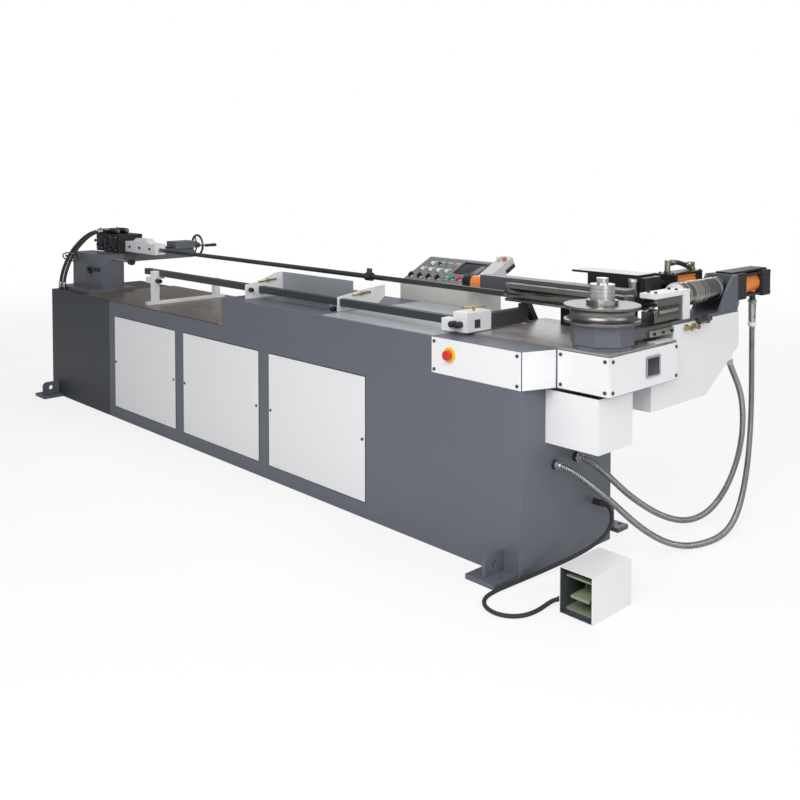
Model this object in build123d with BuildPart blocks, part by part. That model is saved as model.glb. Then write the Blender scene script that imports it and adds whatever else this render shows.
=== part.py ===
from build123d import *
import os
from math import atan2, cos, pi, radians, sin, tan

os.makedirs("parts", exist_ok=True)

# Hydraulic mandrel tube bender, in millimetres.
# Origin on the floor at the centre of the four anchor holes.
# +X runs along the bed to the bend head, +Y away from the operator, +Z up.

# Clearances
RUN = 0.05
SLIDE = 0.3
SEAT = 0.1

# Bed
BED_LENGTH = 4260.0
BED_DEPTH = 700.0
BED_HEIGHT = 745.0
BED_WALL = 8.0
TAIL_LENGTH = 867.0
BED_CORNER_X = 80.0
BED_CORNER_Y = 85.0
PANEL_COUNT = 3
PANEL_WIDTH = 740.0
PANEL_HEIGHT = 578.0
PANEL_GAP = 93.0
PANEL_START = 83.0
PANEL_BASE = 78.0
PANEL_THICK = 3.0
PANEL_LAP = 40.0
SCREW_R = 7.0
SCREW_HEAD = 4.0
SCREW_INSET = 16.0

# Anchor feet
FOOT_LENGTH = 150.0
FOOT_REACH = 135.0
BACK_FOOT_REACH = 80.0
FOOT_THICK = 20.0
FOOT_INSET = 15.0
ANCHOR_REACH = 55.0
ANCHOR_SIDE = 45.0
ANCHOR_R = 11.0
LUG_THICK = 15.0
LUG_REACH = 113.0
BACK_LUG_REACH = 70.0
LUG_TOP = 100.0
LUG_ROUND = 30.0
LUG_EYE_Z = 60.0
LUG_HOLE_R = 15.0

# Deck and bend head
DECK_LENGTH = 2076.0
DECK_RISE = 155.0
DECK_WALL = 8.0
DECK_TOP_THICK = 10.0
HEAD_REACH = 296.0
NOSE_X = 56.0
NOSE_Y = 154.0
HEAD_BACK_INSET = 60.0
DECK_CORNER = 100.0

# Plates on the bed and deck
TAIL_PLATE_GAP = 4.0
TAIL_PLATE_THICK = 6.0
TAIL_PLATE_INSET = 15.0
HEAD_PLATE_LENGTH = 712.0
HEAD_PLATE_THICK = 8.0
PLATE_MARGIN = 4.0
COVER_LENGTH = 750.0
COVER_SETBACK = 480.0
COVER_THICK = 3.0
COVER_MARGIN = 12.0
SKIRT_THICK = 4.0
SKIRT_GAP = 2.0
SKIRT_MARGIN = 3.0
ESTOP_PANEL_LENGTH = 478.0
WINDOW_WIDTH = 90.0
WINDOW_HEIGHT = 95.0
WINDOW_Z = 122.0

# Guard under the head
GUARD_REACH = 250.0
GUARD_START = 155.0
GUARD_WIDTH = 232.0
GUARD_BASE = 517.0
GUARD_HEIGHT = 215.0
GUARD_WALL = 3.0

# Tube line and bend axis
TUBE_D = 48.0
TUBE_Z = 1045.0
GROOVE_CLEAR = 0.5
BEND_RADIUS = 150.0
AXIS_REACH = 180.0
AXIS_INSET = 275.0

# Spindle
SPINDLE_R = 48.0
SPINDLE_TAIL_R = 40.0
SPINDLE_FOOT = 600.0
SPINDLE_STEP = 780.0
SPINDLE_NOSE = 1157.0
SPINDLE_STUB_R = 23.5
SPINDLE_STUB = 24.0
HOUSING_R = 86.0
HOUSING_DROP = 80.0
HOUSING_LIP = 8.0
FLANGE_R = 114.0
FLANGE_THICK = 15.0
BEARING_R = 70.0
BEARING_WIDTH = 20.0
DIE_RIM_R = 149.0
DIE_BASE = 1010.0
DIE_HEIGHT = 68.0
DIE_BOSS_R = 62.0
DIE_BOSS_RISE = 18.0

# Chain drive inside the deck
SPROCKET_R = 80.7
SPROCKET_WIDTH = 20.0
CHAIN_IN_R = 81.0
CHAIN_OUT_R = 93.0
CHAIN_WIDTH = 16.0
CHAIN_Z = 800.0
IDLER_SPAN = 1180.0
IDLER_PIN_R = 15.0
YOKE_SETBACK = 740.0
YOKE_LENGTH = 60.0
YOKE_HEIGHT = 60.0
YOKE_GAP = 0.5
BEND_ROD_R = 16.0
BEND_ROD_LENGTH = 580.0
BEND_BARREL_R = 42.0
BEND_BARREL_BORE = 34.0
BEND_BARREL_LENGTH = 750.0
BEND_BARREL_SETBACK = 1330.0
BEND_FOOT_LENGTH = 40.0

# Swing arm and clamp
ARM_BASE = 925.0
ARM_TOP = 970.0
ARM_WIDTH = 140.0
ARM_REACH = 975.0
HUB_APOTHEM = 115.0
HUB_TOP = 1008.0
CHEEK_THICK = 15.0
CHEEK_FOOT = 167.0
CHEEK_NOSE = 105.0
CHEEK_NOSE_Z = 1055.0
CHEEK_CREST = 40.0
CHEEK_TOP = 1122.0
ARM_END_THICK = 25.0
CLAMP_Z = 1062.0
CLAMP_ROD_R = 22.0
CLAMP_HEAD = 120.0
CLAMP_FRONT_HEAD = 100.0
CLAMP_BARREL = 163.0
CLAMP_BACK_HEAD = 80.0
CLAMP_BARREL_R = 45.0
CLAMP_BORE_R = 35.0
CLAMP_COVER_WIDTH = 80.0
CLAMP_COVER_THICK = 8.0
CLAMP_TRAVEL = 124.0
CLAMP_SLIDE_WIDTH = 75.0
CLAMP_SLIDE_START = 275.0
CLAMP_SLIDE_LENGTH = 270.0
CLAMP_SLIDE_BASE = 1076.0
CLAMP_SLIDE_THICK = 20.0
CLAMP_BLOCK = 50.0
COUPLING_R = 52.0
COUPLING_LENGTH = 355.0
CLAMP_PISTON_LENGTH = 20.0
CLAMP_DIE_WIDTH = 63.0
CLAMP_DIE_LENGTH = 220.0
CLAMP_DIE_BASE = 978.0
CLAMP_DIE_INSET = 5.0
CLAMP_PORT_OFFSET = 20.0
CLAMP_PORT_INSET = 101.0
TIE_R = 6.0

# White housing under the arm
SHELL_WALL = 3.0
SHELL_BASE = 619.0
SHELL_STEP_Z = 735.0
SHELL_TOP = 955.0
SHELL_NEAR = 241.0
SHELL_STEP = 405.0
SHELL_KNEE = 685.0
SHELL_KNEE_Z = 800.0
SHELL_FAR = 979.0
ARM_PORT_OFFSET = 55.0
ARM_PORT_RUN = 225.0

# Pressure die unit
PRESS_BEAM_LEFT = 664.0
PRESS_BEAM_RIGHT = 130.0
PRESS_BEAM_DEPTH = 75.0
PRESS_BEAM_BASE = 1014.0
PRESS_BEAM_HEIGHT = 90.0
PRESS_BEAM_WALL = 12.0
PRESS_DIE_LEFT = 453.0
PRESS_DIE_RIGHT = 170.0
PRESS_DIE_DEPTH = 70.0
PRESS_DIE_BASE = 1010.0
PRESS_DIE_HEIGHT = 80.0
PRESS_TRAVEL = 19.0
PRESS_GAP = 1.0
KEY_HEIGHT = 30.0
KEY_DEPTH = 50.0
KEY_LEFT = 250.0
KEY_RIGHT = 100.0
BOOST_TRAVEL = 200.0
BOOST_R = 33.0
BOOST_LENGTH = 82.0
BOOST_CAP = 14.0
BOOST_INNER_R = 24.0
BOOST_BORE_R = 18.0
BOOST_ROD_R = 12.0
BOOST_ROD_TAIL = 25.0
PEDESTAL_LEFT = 260.0
PEDESTAL_RIGHT = 80.0
PEDESTAL_DEPTH = 90.0
PEDESTAL_START = 600.0
GUIDE_LEFT = 30.0
GUIDE_RIGHT = 95.0
GUIDE_BASE = 1000.0
GUIDE_THICK = 40.0
GUIDE_LENGTH = 390.0
GUIDE_NOSE = 25.0
REAR_PLATE_THICK = 20.0
REAR_PLATE_TOP = 1130.0
SADDLE_CHEEK = 30.0
SADDLE_THICK = 22.0
SADDLE_BLOCK_START = 720.0
SADDLE_BLOCK_DEPTH = 130.0
SADDLE_BLOCK_LEFT = 200.0
TOP_PLATE_LEFT = 286.0
TOP_PLATE_RIGHT = 60.0
TOP_PLATE_Z = 1135.0
TOP_PLATE_THICK = 10.0
STAY_X = 445.0
STAY_WIDTH = 34.0
STAY_LEAN = 70.0
STAY_FOOT = 1.0
PRESS_RAM_X = 32.0
PRESS_RAM_Z = 1085.0
PRESS_ROD_R = 18.0
PRESS_HEAD = 80.0
PRESS_FRONT_HEAD = 35.0
PRESS_BARREL = 175.0
PRESS_BACK_HEAD = 50.0
PRESS_BARREL_R = 37.0
PRESS_BORE_R = 30.0
PRESS_PISTON = 60.0
PRESS_PISTON_LENGTH = 20.0
FRONT_ELBOW_RISE = 51.0
BACK_ELBOW_RISE = 31.0
ELBOW_REACH = 30.0

# Mandrel unit at the tail
BRACKET_INSET = 10.0
BRACKET_LENGTH = 475.0
BRACKET_START = 60.0
BRACKET_DEPTH = 330.0
BRACKET_THICK = 26.0
POST_INSET = 15.0
POST_LENGTH = 468.0
POST_START = 155.0
POST_DEPTH = 155.0
BEAM_INSET = 160.0
BEAM_LENGTH = 150.0
BEAM_BASE = 930.0
BEAM_TOP = 1003.0
BEAM_DEPTH = 820.0
LOCK_ROD_R = 7.0
LOCK_ROD_LENGTH = 290.0
LOCK_KNOB_R = 20.0
LOCK_KNOB_LENGTH = 36.0
LOCK_ROD_START = 222.0
LOCK_ROD_Z = 975.0
BLOCK_DEPTH = 172.0
BLOCK_WIDTH = 130.0
BLOCK_HEIGHT = 51.0
CARRIAGE_INSET = 30.0
CARRIAGE_LENGTH = 330.0
CARRIAGE_DEPTH = 190.0
CARRIAGE_LEAD = 95.0
CARRIAGE_TOP = 1130.0
VALVE_LENGTH = 120.0
VALVE_HEIGHT = 25.0
PISTON_R = 16.0
PISTON_LENGTH = 200.0
CLEVIS_LENGTH = 420.0
CLEVIS_DEPTH = 80.0
CLEVIS_BASE = 1012.0
CLEVIS_HEIGHT = 73.0
MANDREL_R = 13.0
MANDREL_TIP = 436.0
COLLAR_X = 1365.0
COLLAR_R = 22.0
COLLAR_LENGTH = 40.0
COLLAR_KNOB_R = 8.0
COLLAR_KNOB = 20.0
SCREW_X = 275.0
SCREW_Z = 1016.0
LEAD_SCREW_R = 10.0
SCREW_ENGAGE = 120.0
WHEEL_R = 75.0
WHEEL_RIM_R = 9.0
WHEEL_HUB_R = 20.0
WHEEL_GAP = 35.0
WHEEL_WIDTH = 40.0
SPOKE_R = 6.0
CRANK_R = 12.0
CRANK_LENGTH = 120.0

# Length gauge
BAR_SIDE = 36.0
BAR_Y = 170.0
BAR_Z = 945.0
BAR_LEFT = 193.0
BAR_RIGHT = 374.0
STAND_X = 360.0
STAND_WIDTH = 40.0
STAND_FOOT = 18.0
STAND_START = 75.0
STAND_DEPTH = 560.0
STAND_POST = 40.0
STAND_POST_TOP = 960.0
STAND_REAR_Y = 560.0
STAND_REAR_TOP = 880.0
STAND_KNOB_R = 12.0
STAND_KNOB = 50.0
STAND_KNOB_Z = 900.0
STAND_BOSS = 60.0
STAND_BOSS_HEIGHT = 36.0
CARRIAGE_BOX_LENGTH = 80.0
CARRIAGE_BOX_FRONT = 66.0
CARRIAGE_BOX_BACK = 88.0
CARRIAGE_BOX_BASE = 912.0
CARRIAGE_BOX_HEIGHT = 84.0
CROSS_WIDTH = 40.0
CROSS_BASE = 915.0
CROSS_HEIGHT = 65.0
CROSS_END = 511.0
LATCH_LENGTH = 70.0
LATCH_BASE = 908.0
LATCH_HEIGHT = 54.0
FINGER_DEPTH = 20.0
FINGER_TOP = 997.0
GAUGE_KNOB_R = 13.0
GAUGE_KNOB = 34.0
GAUGE_KNOB_PITCH = 32.0

# Tube rest plates in front of the mandrel rod
REST_THICK = 6.0
REST_TAIL_X = 1950.0
REST_HEAD_X = 1262.0
REST_FLANGE = 40.0
REST_FLANGE_THICK = 4.0
REST_PANEL_Y = 320.0
REST_PANEL_TOP = 1030.0
REST_BLOCK_LENGTH = 72.0
REST_NOTCH_LENGTH = 90.0
REST_NOTCH_HEIGHT = 45.0
TAIL_REST_FRONT = 65.0
TAIL_REST_FRONT_RISE = 15.0
TAIL_REST_KNEE = 150.0
TAIL_REST_KNEE_RISE = 25.0
TAIL_REST_LEDGE = 50.0
HEAD_REST_FRONT = 141.0
HEAD_REST_FRONT_RISE = 72.0
HEAD_REST_KNEE = 330.0
HEAD_REST_KNEE_RISE = 96.0
HEAD_REST_FOOT = 390.0
HEAD_REST_BACK = 457.0
HEAD_REST_BACK_BASE = 50.0
HEAD_REST_BACK_RISE = 108.0

# Console
CONSOLE_LEFT = 1400.0
CONSOLE_RIGHT = 910.0
CONSOLE_BASE = 800.0
CONSOLE_LIP = 995.0
CONSOLE_TOP = 1112.0
CONSOLE_RUN = 235.0
CONSOLE_DEPTH = 260.0
CONSOLE_WALL = 3.0
CHEEK_BOX_LENGTH = 80.0
CHEEK_BOX_START = 20.0
CHEEK_BOX_RUN = 280.0
CHEEK_BOX_DROP = 37.0
CHEEK_BOX_RISE = 20.0
FACE_RIGHT = 916.0
FACE_THICK = 3.0
FACE_MARGIN = 6.0
FACE_LAP = 10.0
BUTTON_STEM_R = 11.0
BUTTON_R = 15.0
BUTTON_HEAD = 8.0
BUTTON_TRAVEL = 4.0
BUTTON_STEM = 18.0
BUTTON_S = 72.0
START_X = 322.0
STOP_X = 372.0
SELECTOR_S = 60.0
SELECTOR_FIRST = 30.0
SELECTOR_PITCH = 66.0
SELECTOR_COUNT = 4
SELECTOR_HEAD = 6.0
SELECTOR_GRIP = 12.0
SELECTOR_GRIP_WIDTH = 8.0

# Emergency stop
ESTOP_X = 372.0
ESTOP_Z = 835.0
ESTOP_RING_R = 31.0
ESTOP_RING_THICK = 6.0
ESTOP_R = 20.0
ESTOP_HEAD = 16.0
ESTOP_STEM_R = 11.0
ESTOP_TRAVEL = 5.0

# Hydraulic power inside the bed
TANK_LENGTH = 600.0
TANK_DEPTH = 480.0
TANK_HEIGHT = 412.0
TANK_SETBACK = 300.0
TANK_WALL = 4.0
TANK_LID = 6.0
MOTOR_R = 110.0
MOTOR_LENGTH = 350.0
PUMP_R = 60.0
PUMP_LENGTH = 100.0

# Foot switch
SWITCH_X = 330.0
SWITCH_WIDTH = 142.0
SWITCH_FRONT = 96.0
SWITCH_DEPTH = 247.0
SWITCH_HEIGHT = 171.0
SWITCH_WALL = 3.0
SWITCH_SOLE = 8.0
SWITCH_BACK_DEPTH = 40.0
SWITCH_CHEEK = 12.0
SWITCH_CHEEK_DEPTH = 70.0
SWITCH_CHEEK_TOP = 90.0
PEDAL_WIDTH = 80.0
PEDAL_LENGTH = 150.0
PEDAL_THICK = 10.0
PEDAL_Z = 63.0
PEDAL_Y = 80.0
PEDAL_BARREL_R = 9.0
PEDAL_PIN_R = 4.0

# Conduits, cable and hoses
CONDUIT_D = 27.0
CONDUIT_ROOT_D = 23.0
CONDUIT_BORE_D = 18.0
CLAMP_CONDUIT_RIBS = 190
ARM_CONDUIT_RIBS = 155
SKIN_SPAN = 12
CABLE_D = 16.0
HOSE_D = 22.0
RIB_FOOT = 0.10
RIB_CREST = 0.35
CORNER_SHARE = 0.45
LEAN = Vector(1, -1, 0.3)
GLAND_R = 20.0
GLAND_LENGTH = 12.0
CABLE_GLAND_R = 14.0
CABLE_GLAND_LENGTH = 36.0
PORT_R = 14.0
PORT_LENGTH = 20.0
HOSE_PORT_R = 13.0

# Edges and heights worked out from the sizes above
END = BED_LENGTH / 2
TAIL = -BED_LENGTH / 2
FRONT = -BED_DEPTH / 2
BACK = BED_DEPTH / 2
TAIL_JOIN = TAIL + TAIL_LENGTH
DECK_LEFT = END - DECK_LENGTH
DECK_TOP = BED_HEIGHT + DECK_RISE
HEAD_TOP = DECK_TOP + HEAD_PLATE_THICK
HEAD_RIGHT = END + HEAD_REACH
HEAD_BACK = BACK - HEAD_BACK_INSET
NOSE_FRONT = FRONT + NOSE_Y
AXIS_X = END + AXIS_REACH
AXIS_Y = FRONT + AXIS_INSET
TUBE_Y = AXIS_Y + BEND_RADIUS
GROOVE_R = TUBE_D / 2 + GROOVE_CLEAR
ARM_END = AXIS_Y + ARM_REACH
ARM_LEFT = AXIS_X - ARM_WIDTH / 2
ARM_RIGHT = AXIS_X + ARM_WIDTH / 2
TAIL_TOP = BED_HEIGHT + TAIL_PLATE_THICK


def block(x, y, z, mode=Mode.ADD):
    """Adds a box between the low and high values given for each axis."""
    with Locations(((x[0] + x[1]) / 2, (y[0] + y[1]) / 2, (z[0] + z[1]) / 2)):
        Box(x[1] - x[0], y[1] - y[0], z[1] - z[0], mode=mode)


def rod_x(x, y, z, radius, mode=Mode.ADD):
    """Adds a round bar along X between two values of x."""
    with Locations(Location(((x[0] + x[1]) / 2, y, z), (0, 90, 0))):
        Cylinder(radius, x[1] - x[0], mode=mode)


def rod_y(x, y, z, radius, mode=Mode.ADD):
    """Adds a round bar along Y between two values of y."""
    with Locations(Location((x, (y[0] + y[1]) / 2, z), (90, 0, 0))):
        Cylinder(radius, y[1] - y[0], mode=mode)


def rod_z(x, y, z, radius, mode=Mode.ADD):
    """Adds a round bar along Z between two values of z."""
    with Locations((x, y, (z[0] + z[1]) / 2)):
        Cylinder(radius, z[1] - z[0], mode=mode)


def slab(points, z, mode=Mode.ADD, inset=0.0):
    """Adds a plate with the outline of the (x, y) points, drawn in by inset, between two heights."""
    with BuildSketch(Plane.XY.offset(z[0])) as outline:
        with BuildLine():
            Polyline(*points, close=True)
        make_face()
        if inset:
            offset(amount=-inset, kind=Kind.INTERSECTION, mode=Mode.REPLACE)
    extrude(outline.sketch, amount=z[1] - z[0], mode=mode)


def rib(points, x, mode=Mode.ADD, inset=0.0):
    """Adds a plate square to X with the outline of the (y, z) points, drawn in by inset."""
    with BuildSketch(Plane.YZ.offset(x[0])) as outline:
        with BuildLine():
            Polyline(*points, close=True)
        make_face()
        if inset:
            offset(amount=-inset, kind=Kind.INTERSECTION, mode=Mode.REPLACE)
    extrude(outline.sketch, amount=x[1] - x[0], mode=mode)


def ram(x, z, start, lengths, head, radius, bore, rod):
    """Adds a hydraulic ram along Y: front head, barrel and back head, tied by four rods, bored for its rod."""
    front, barrel, back = lengths
    near = start + front
    far = near + barrel
    sides = (x - head / 2, x + head / 2)
    heights = (z - head / 2, z + head / 2)
    block(sides, (start, near), heights)
    block(sides, (far, far + back), heights)
    rod_y(x, (near, far), z, radius)
    corner = head / 2 - 2 * TIE_R
    for side in (-corner, corner):
        for rise in (-corner, corner):
            rod_y(x + side, (near, far), z + rise, TIE_R)
    rod_y(x, (near, far), z, bore, Mode.SUBTRACT)
    rod_y(x, (start, near), z, rod + RUN, Mode.SUBTRACT)


def corner_radii(points):
    """Gives each corner of a route the largest arc that its two runs leave room for."""
    radii = []
    for before, point, after in zip(points, points[1:], points[2:]):
        run_in = Vector(point) - Vector(before)
        run_out = Vector(after) - Vector(point)
        half_turn = radians(run_in.get_angle(run_out)) / 2
        radii.append(CORNER_SHARE * min(run_in.length, run_out.length) / tan(half_turn))
    return radii


def route(points):
    """Gives the wire of straight runs and tangent arcs through the points."""
    with BuildLine() as line:
        FilletPolyline(*points, radius=corner_radii(points))
    return line.wires()[0]


def from_bed_end(points):
    """Moves points that are measured from the bed's end and front face into the frame."""
    return [(END + x, FRONT + y, z) for x, y, z in points]


def square_to(wire, distance, lean):
    """Gives the plane square to a wire at a distance along it, its X axis held steady by the lean."""
    tangent = wire.tangent_at(distance, PositionMode.LENGTH)
    steady = lean - tangent * lean.dot(tangent)
    return Plane(origin=wire.position_at(distance, PositionMode.LENGTH), x_dir=steady, z_dir=tangent)


def ribbed(wire, ribs, lean):
    """Gives the outer rings of a ribbed conduit, four to a rib, with plain ends one diameter long."""
    pitch = (wire.length - 2 * CONDUIT_D) / ribs
    rings = [(0.0, CONDUIT_ROOT_D)]
    for step in range(ribs):
        start = CONDUIT_D + step * pitch
        rings.append((start + RIB_FOOT * pitch, CONDUIT_ROOT_D))
        rings.append((start + RIB_CREST * pitch, CONDUIT_D))
        rings.append((start + (1 - RIB_CREST) * pitch, CONDUIT_D))
        rings.append((start + (1 - RIB_FOOT) * pitch, CONDUIT_ROOT_D))
    rings.append((wire.length, CONDUIT_ROOT_D))
    return [Wire.make_circle(size / 2, square_to(wire, where, lean)) for where, size in rings]


def bored(wire, ribs, lean):
    """Gives the rings of a conduit's bore, one to a rib."""
    places = [wire.length * step / ribs for step in range(ribs + 1)]
    return [Wire.make_circle(CONDUIT_BORE_D / 2, square_to(wire, where, lean)) for where in places]


def skin(rings):
    """Gives the ruled faces through the rings, lofted in short spans so that no span turns far."""
    faces = []
    for start in range(0, len(rings) - 1, SKIN_SPAN):
        span = Solid.make_loft(rings[start:start + SKIN_SPAN + 1], ruled=True)
        faces += [face for face in span.faces() if face.geom_type != GeomType.PLANE]
    return faces


def conduit(wire, ribs, lean):
    """Gives a hollow ribbed conduit along a wire."""
    outer = ribbed(wire, ribs, lean)
    inner = bored(wire, ribs, lean)
    ends = [Face(outer[0], [inner[0]]), Face(outer[-1], [inner[-1]])]
    return Solid(Shell(skin(outer) + skin(inner) + ends))


def describe_cord(name, points, wire, part, section):
    """Prints a cord's length, its least radius and its volume against section times length."""
    ratio = part.volume / (section * wire.length)
    print(f"{name}: length {wire.length:.0f}, least radius {min(corner_radii(points)):.0f}, volume ratio {ratio:.3f}")


# Outlines seen from above
bed_outline = [
    (TAIL_JOIN, FRONT),
    (END, FRONT),
    (END, BACK - BED_CORNER_Y),
    (END - BED_CORNER_X, BACK),
    (TAIL_JOIN, BACK),
]
deck_outline = [
    (DECK_LEFT, FRONT),
    (END, FRONT),
    (END + NOSE_X, NOSE_FRONT),
    (HEAD_RIGHT, NOSE_FRONT),
    (HEAD_RIGHT, HEAD_BACK),
    (END, HEAD_BACK),
    (END - DECK_CORNER, BACK),
    (DECK_LEFT, BACK),
]
head_plate_left = HEAD_RIGHT - PLATE_MARGIN - HEAD_PLATE_LENGTH
head_plate_outline = [
    (head_plate_left, NOSE_FRONT + PLATE_MARGIN),
    (HEAD_RIGHT - PLATE_MARGIN, NOSE_FRONT + PLATE_MARGIN),
    (HEAD_RIGHT - PLATE_MARGIN, HEAD_BACK - PLATE_MARGIN),
    (END, HEAD_BACK - PLATE_MARGIN),
    (END - DECK_CORNER, BACK - PLATE_MARGIN),
    (head_plate_left, BACK - PLATE_MARGIN),
]
panel_lefts = [TAIL_JOIN + PANEL_START + step * (PANEL_WIDTH + PANEL_GAP) for step in range(PANEL_COUNT)]

# Bed cabinet, with an opening behind each access panel
with BuildPart() as bed_cabinet:
    slab(bed_outline, (0, BED_HEIGHT))
    slab(bed_outline, (BED_WALL, BED_HEIGHT - BED_WALL), Mode.SUBTRACT, BED_WALL)
    for left in panel_lefts:
        block(
            (left + PANEL_LAP, left + PANEL_WIDTH - PANEL_LAP),
            (FRONT, FRONT + BED_WALL),
            (PANEL_BASE + PANEL_LAP, PANEL_BASE + PANEL_HEIGHT - PANEL_LAP),
            Mode.SUBTRACT,
        )

# Tail cabinet: a closed box against the bed, open to it inside
with BuildPart() as tail_cabinet:
    block((TAIL, TAIL_JOIN), (FRONT, BACK), (0, BED_HEIGHT))
    block(
        (TAIL + BED_WALL, TAIL_JOIN),
        (FRONT + BED_WALL, BACK - BED_WALL),
        (BED_WALL, BED_HEIGHT - BED_WALL),
        Mode.SUBTRACT,
    )

# Deck frame: the box that holds the drive, with the idler's pin
idler_x = AXIS_X - IDLER_SPAN
estop_x = END - ESTOP_X
sprocket_base = CHAIN_Z - SPROCKET_WIDTH / 2
sprocket_top = CHAIN_Z + SPROCKET_WIDTH / 2
with BuildPart() as deck_frame:
    slab(deck_outline, (BED_HEIGHT, DECK_TOP))
    slab(deck_outline, (BED_HEIGHT + DECK_WALL, DECK_TOP - DECK_TOP_THICK), Mode.SUBTRACT, DECK_WALL)
    rod_z(AXIS_X, AXIS_Y, (DECK_TOP - DECK_TOP_THICK, DECK_TOP), HOUSING_R + SEAT, Mode.SUBTRACT)
    rod_z(AXIS_X, AXIS_Y, (BED_HEIGHT, BED_HEIGHT + DECK_WALL), SPINDLE_R + BED_WALL, Mode.SUBTRACT)
    rod_y(estop_x, (FRONT, FRONT + DECK_WALL), ESTOP_Z, ESTOP_STEM_R + SLIDE, Mode.SUBTRACT)
    rod_z(idler_x, AXIS_Y, (BED_HEIGHT + DECK_WALL, sprocket_top), IDLER_PIN_R)
    rod_z(idler_x, AXIS_Y, (BED_HEIGHT + DECK_WALL, sprocket_base - SLIDE), 2 * IDLER_PIN_R)

# Plates laid on the bed, the head and the deck
with BuildPart() as top_plates:
    tail_plate_left = TAIL + BRACKET_INSET + BRACKET_LENGTH + TAIL_PLATE_GAP
    block(
        (tail_plate_left, DECK_LEFT - TAIL_PLATE_GAP),
        (FRONT + TAIL_PLATE_INSET, BACK),
        (BED_HEIGHT, TAIL_TOP),
    )
    slab(head_plate_outline, (DECK_TOP, HEAD_TOP))
    rod_z(AXIS_X, AXIS_Y, (DECK_TOP, HEAD_TOP), HOUSING_R + SEAT, Mode.SUBTRACT)
    block(
        (END - COVER_SETBACK - COVER_LENGTH, END - COVER_SETBACK),
        (FRONT + COVER_MARGIN, BACK - COVER_MARGIN),
        (DECK_TOP, DECK_TOP + COVER_THICK),
    )

# Anchor feet: floor plates with a lifting lug, at the four corners
with BuildPart() as anchor_feet:
    foot_x = END - FOOT_INSET - FOOT_LENGTH / 2
    for end in (-1, 1):
        along = end * foot_x
        lug = (along - LUG_THICK / 2, along + LUG_THICK / 2)
        for side, foot_reach, lug_reach in ((-1, FOOT_REACH, LUG_REACH), (1, BACK_FOOT_REACH, BACK_LUG_REACH)):
            wall = side * BED_DEPTH / 2
            outer = wall + side * foot_reach
            lug_end = wall + side * lug_reach
            round_y = lug_end - side * LUG_ROUND
            block(
                (along - FOOT_LENGTH / 2, along + FOOT_LENGTH / 2),
                (min(wall, outer), max(wall, outer)),
                (0, FOOT_THICK),
            )
            block(lug, (min(wall, round_y), max(wall, round_y)), (FOOT_THICK, LUG_TOP))
            block(lug, (min(wall, lug_end), max(wall, lug_end)), (FOOT_THICK, LUG_TOP - LUG_ROUND))
            rod_x(lug, round_y, LUG_TOP - LUG_ROUND, LUG_ROUND)
            rod_x(lug, wall + side * lug_reach / 2, LUG_EYE_Z, LUG_HOLE_R, Mode.SUBTRACT)
            rod_z(along + end * ANCHOR_SIDE, wall + side * ANCHOR_REACH, (0, FOOT_THICK), ANCHOR_R, Mode.SUBTRACT)

# Access panels on the front of the bed
with BuildPart() as access_panels:
    for left in panel_lefts:
        block(
            (left, left + PANEL_WIDTH),
            (FRONT - PANEL_THICK, FRONT),
            (PANEL_BASE, PANEL_BASE + PANEL_HEIGHT),
        )

# Skirt panels round the head: front, nose, head front and head end
skirt_z = (BED_HEIGHT + SKIRT_MARGIN, DECK_TOP - SKIRT_GAP)
nose_length = Vector(NOSE_X, NOSE_Y).length
nose_plane = Plane(origin=(END, FRONT, 0), x_dir=(NOSE_X, NOSE_Y, 0), z_dir=(0, 0, 1))
window_y = (NOSE_FRONT + HEAD_BACK) / 2 + WINDOW_WIDTH / 2
with BuildPart() as skirt_panels:
    block((END - ESTOP_PANEL_LENGTH, END), (FRONT - SKIRT_THICK, FRONT), skirt_z)
    rod_y(estop_x, (FRONT - SKIRT_THICK, FRONT), ESTOP_Z, ESTOP_STEM_R + SLIDE, Mode.SUBTRACT)
    with BuildSketch(nose_plane.offset(skirt_z[0])):
        with Locations((SKIRT_THICK, -SKIRT_THICK)):
            Rectangle(nose_length - 3 * SKIRT_THICK, SKIRT_THICK, align=(Align.MIN, Align.MIN))
    extrude(amount=skirt_z[1] - skirt_z[0])
    block((END + NOSE_X + SKIRT_THICK, HEAD_RIGHT), (NOSE_FRONT - SKIRT_THICK, NOSE_FRONT), skirt_z)
    block((HEAD_RIGHT, HEAD_RIGHT + SKIRT_THICK), (NOSE_FRONT, HEAD_BACK), skirt_z)
    block(
        (HEAD_RIGHT + SKIRT_THICK / 2, HEAD_RIGHT + SKIRT_THICK),
        (window_y - WINDOW_WIDTH / 2, window_y + WINDOW_WIDTH / 2),
        (skirt_z[1] - WINDOW_Z, skirt_z[1] - WINDOW_Z + WINDOW_HEIGHT),
        Mode.SUBTRACT,
    )

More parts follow.
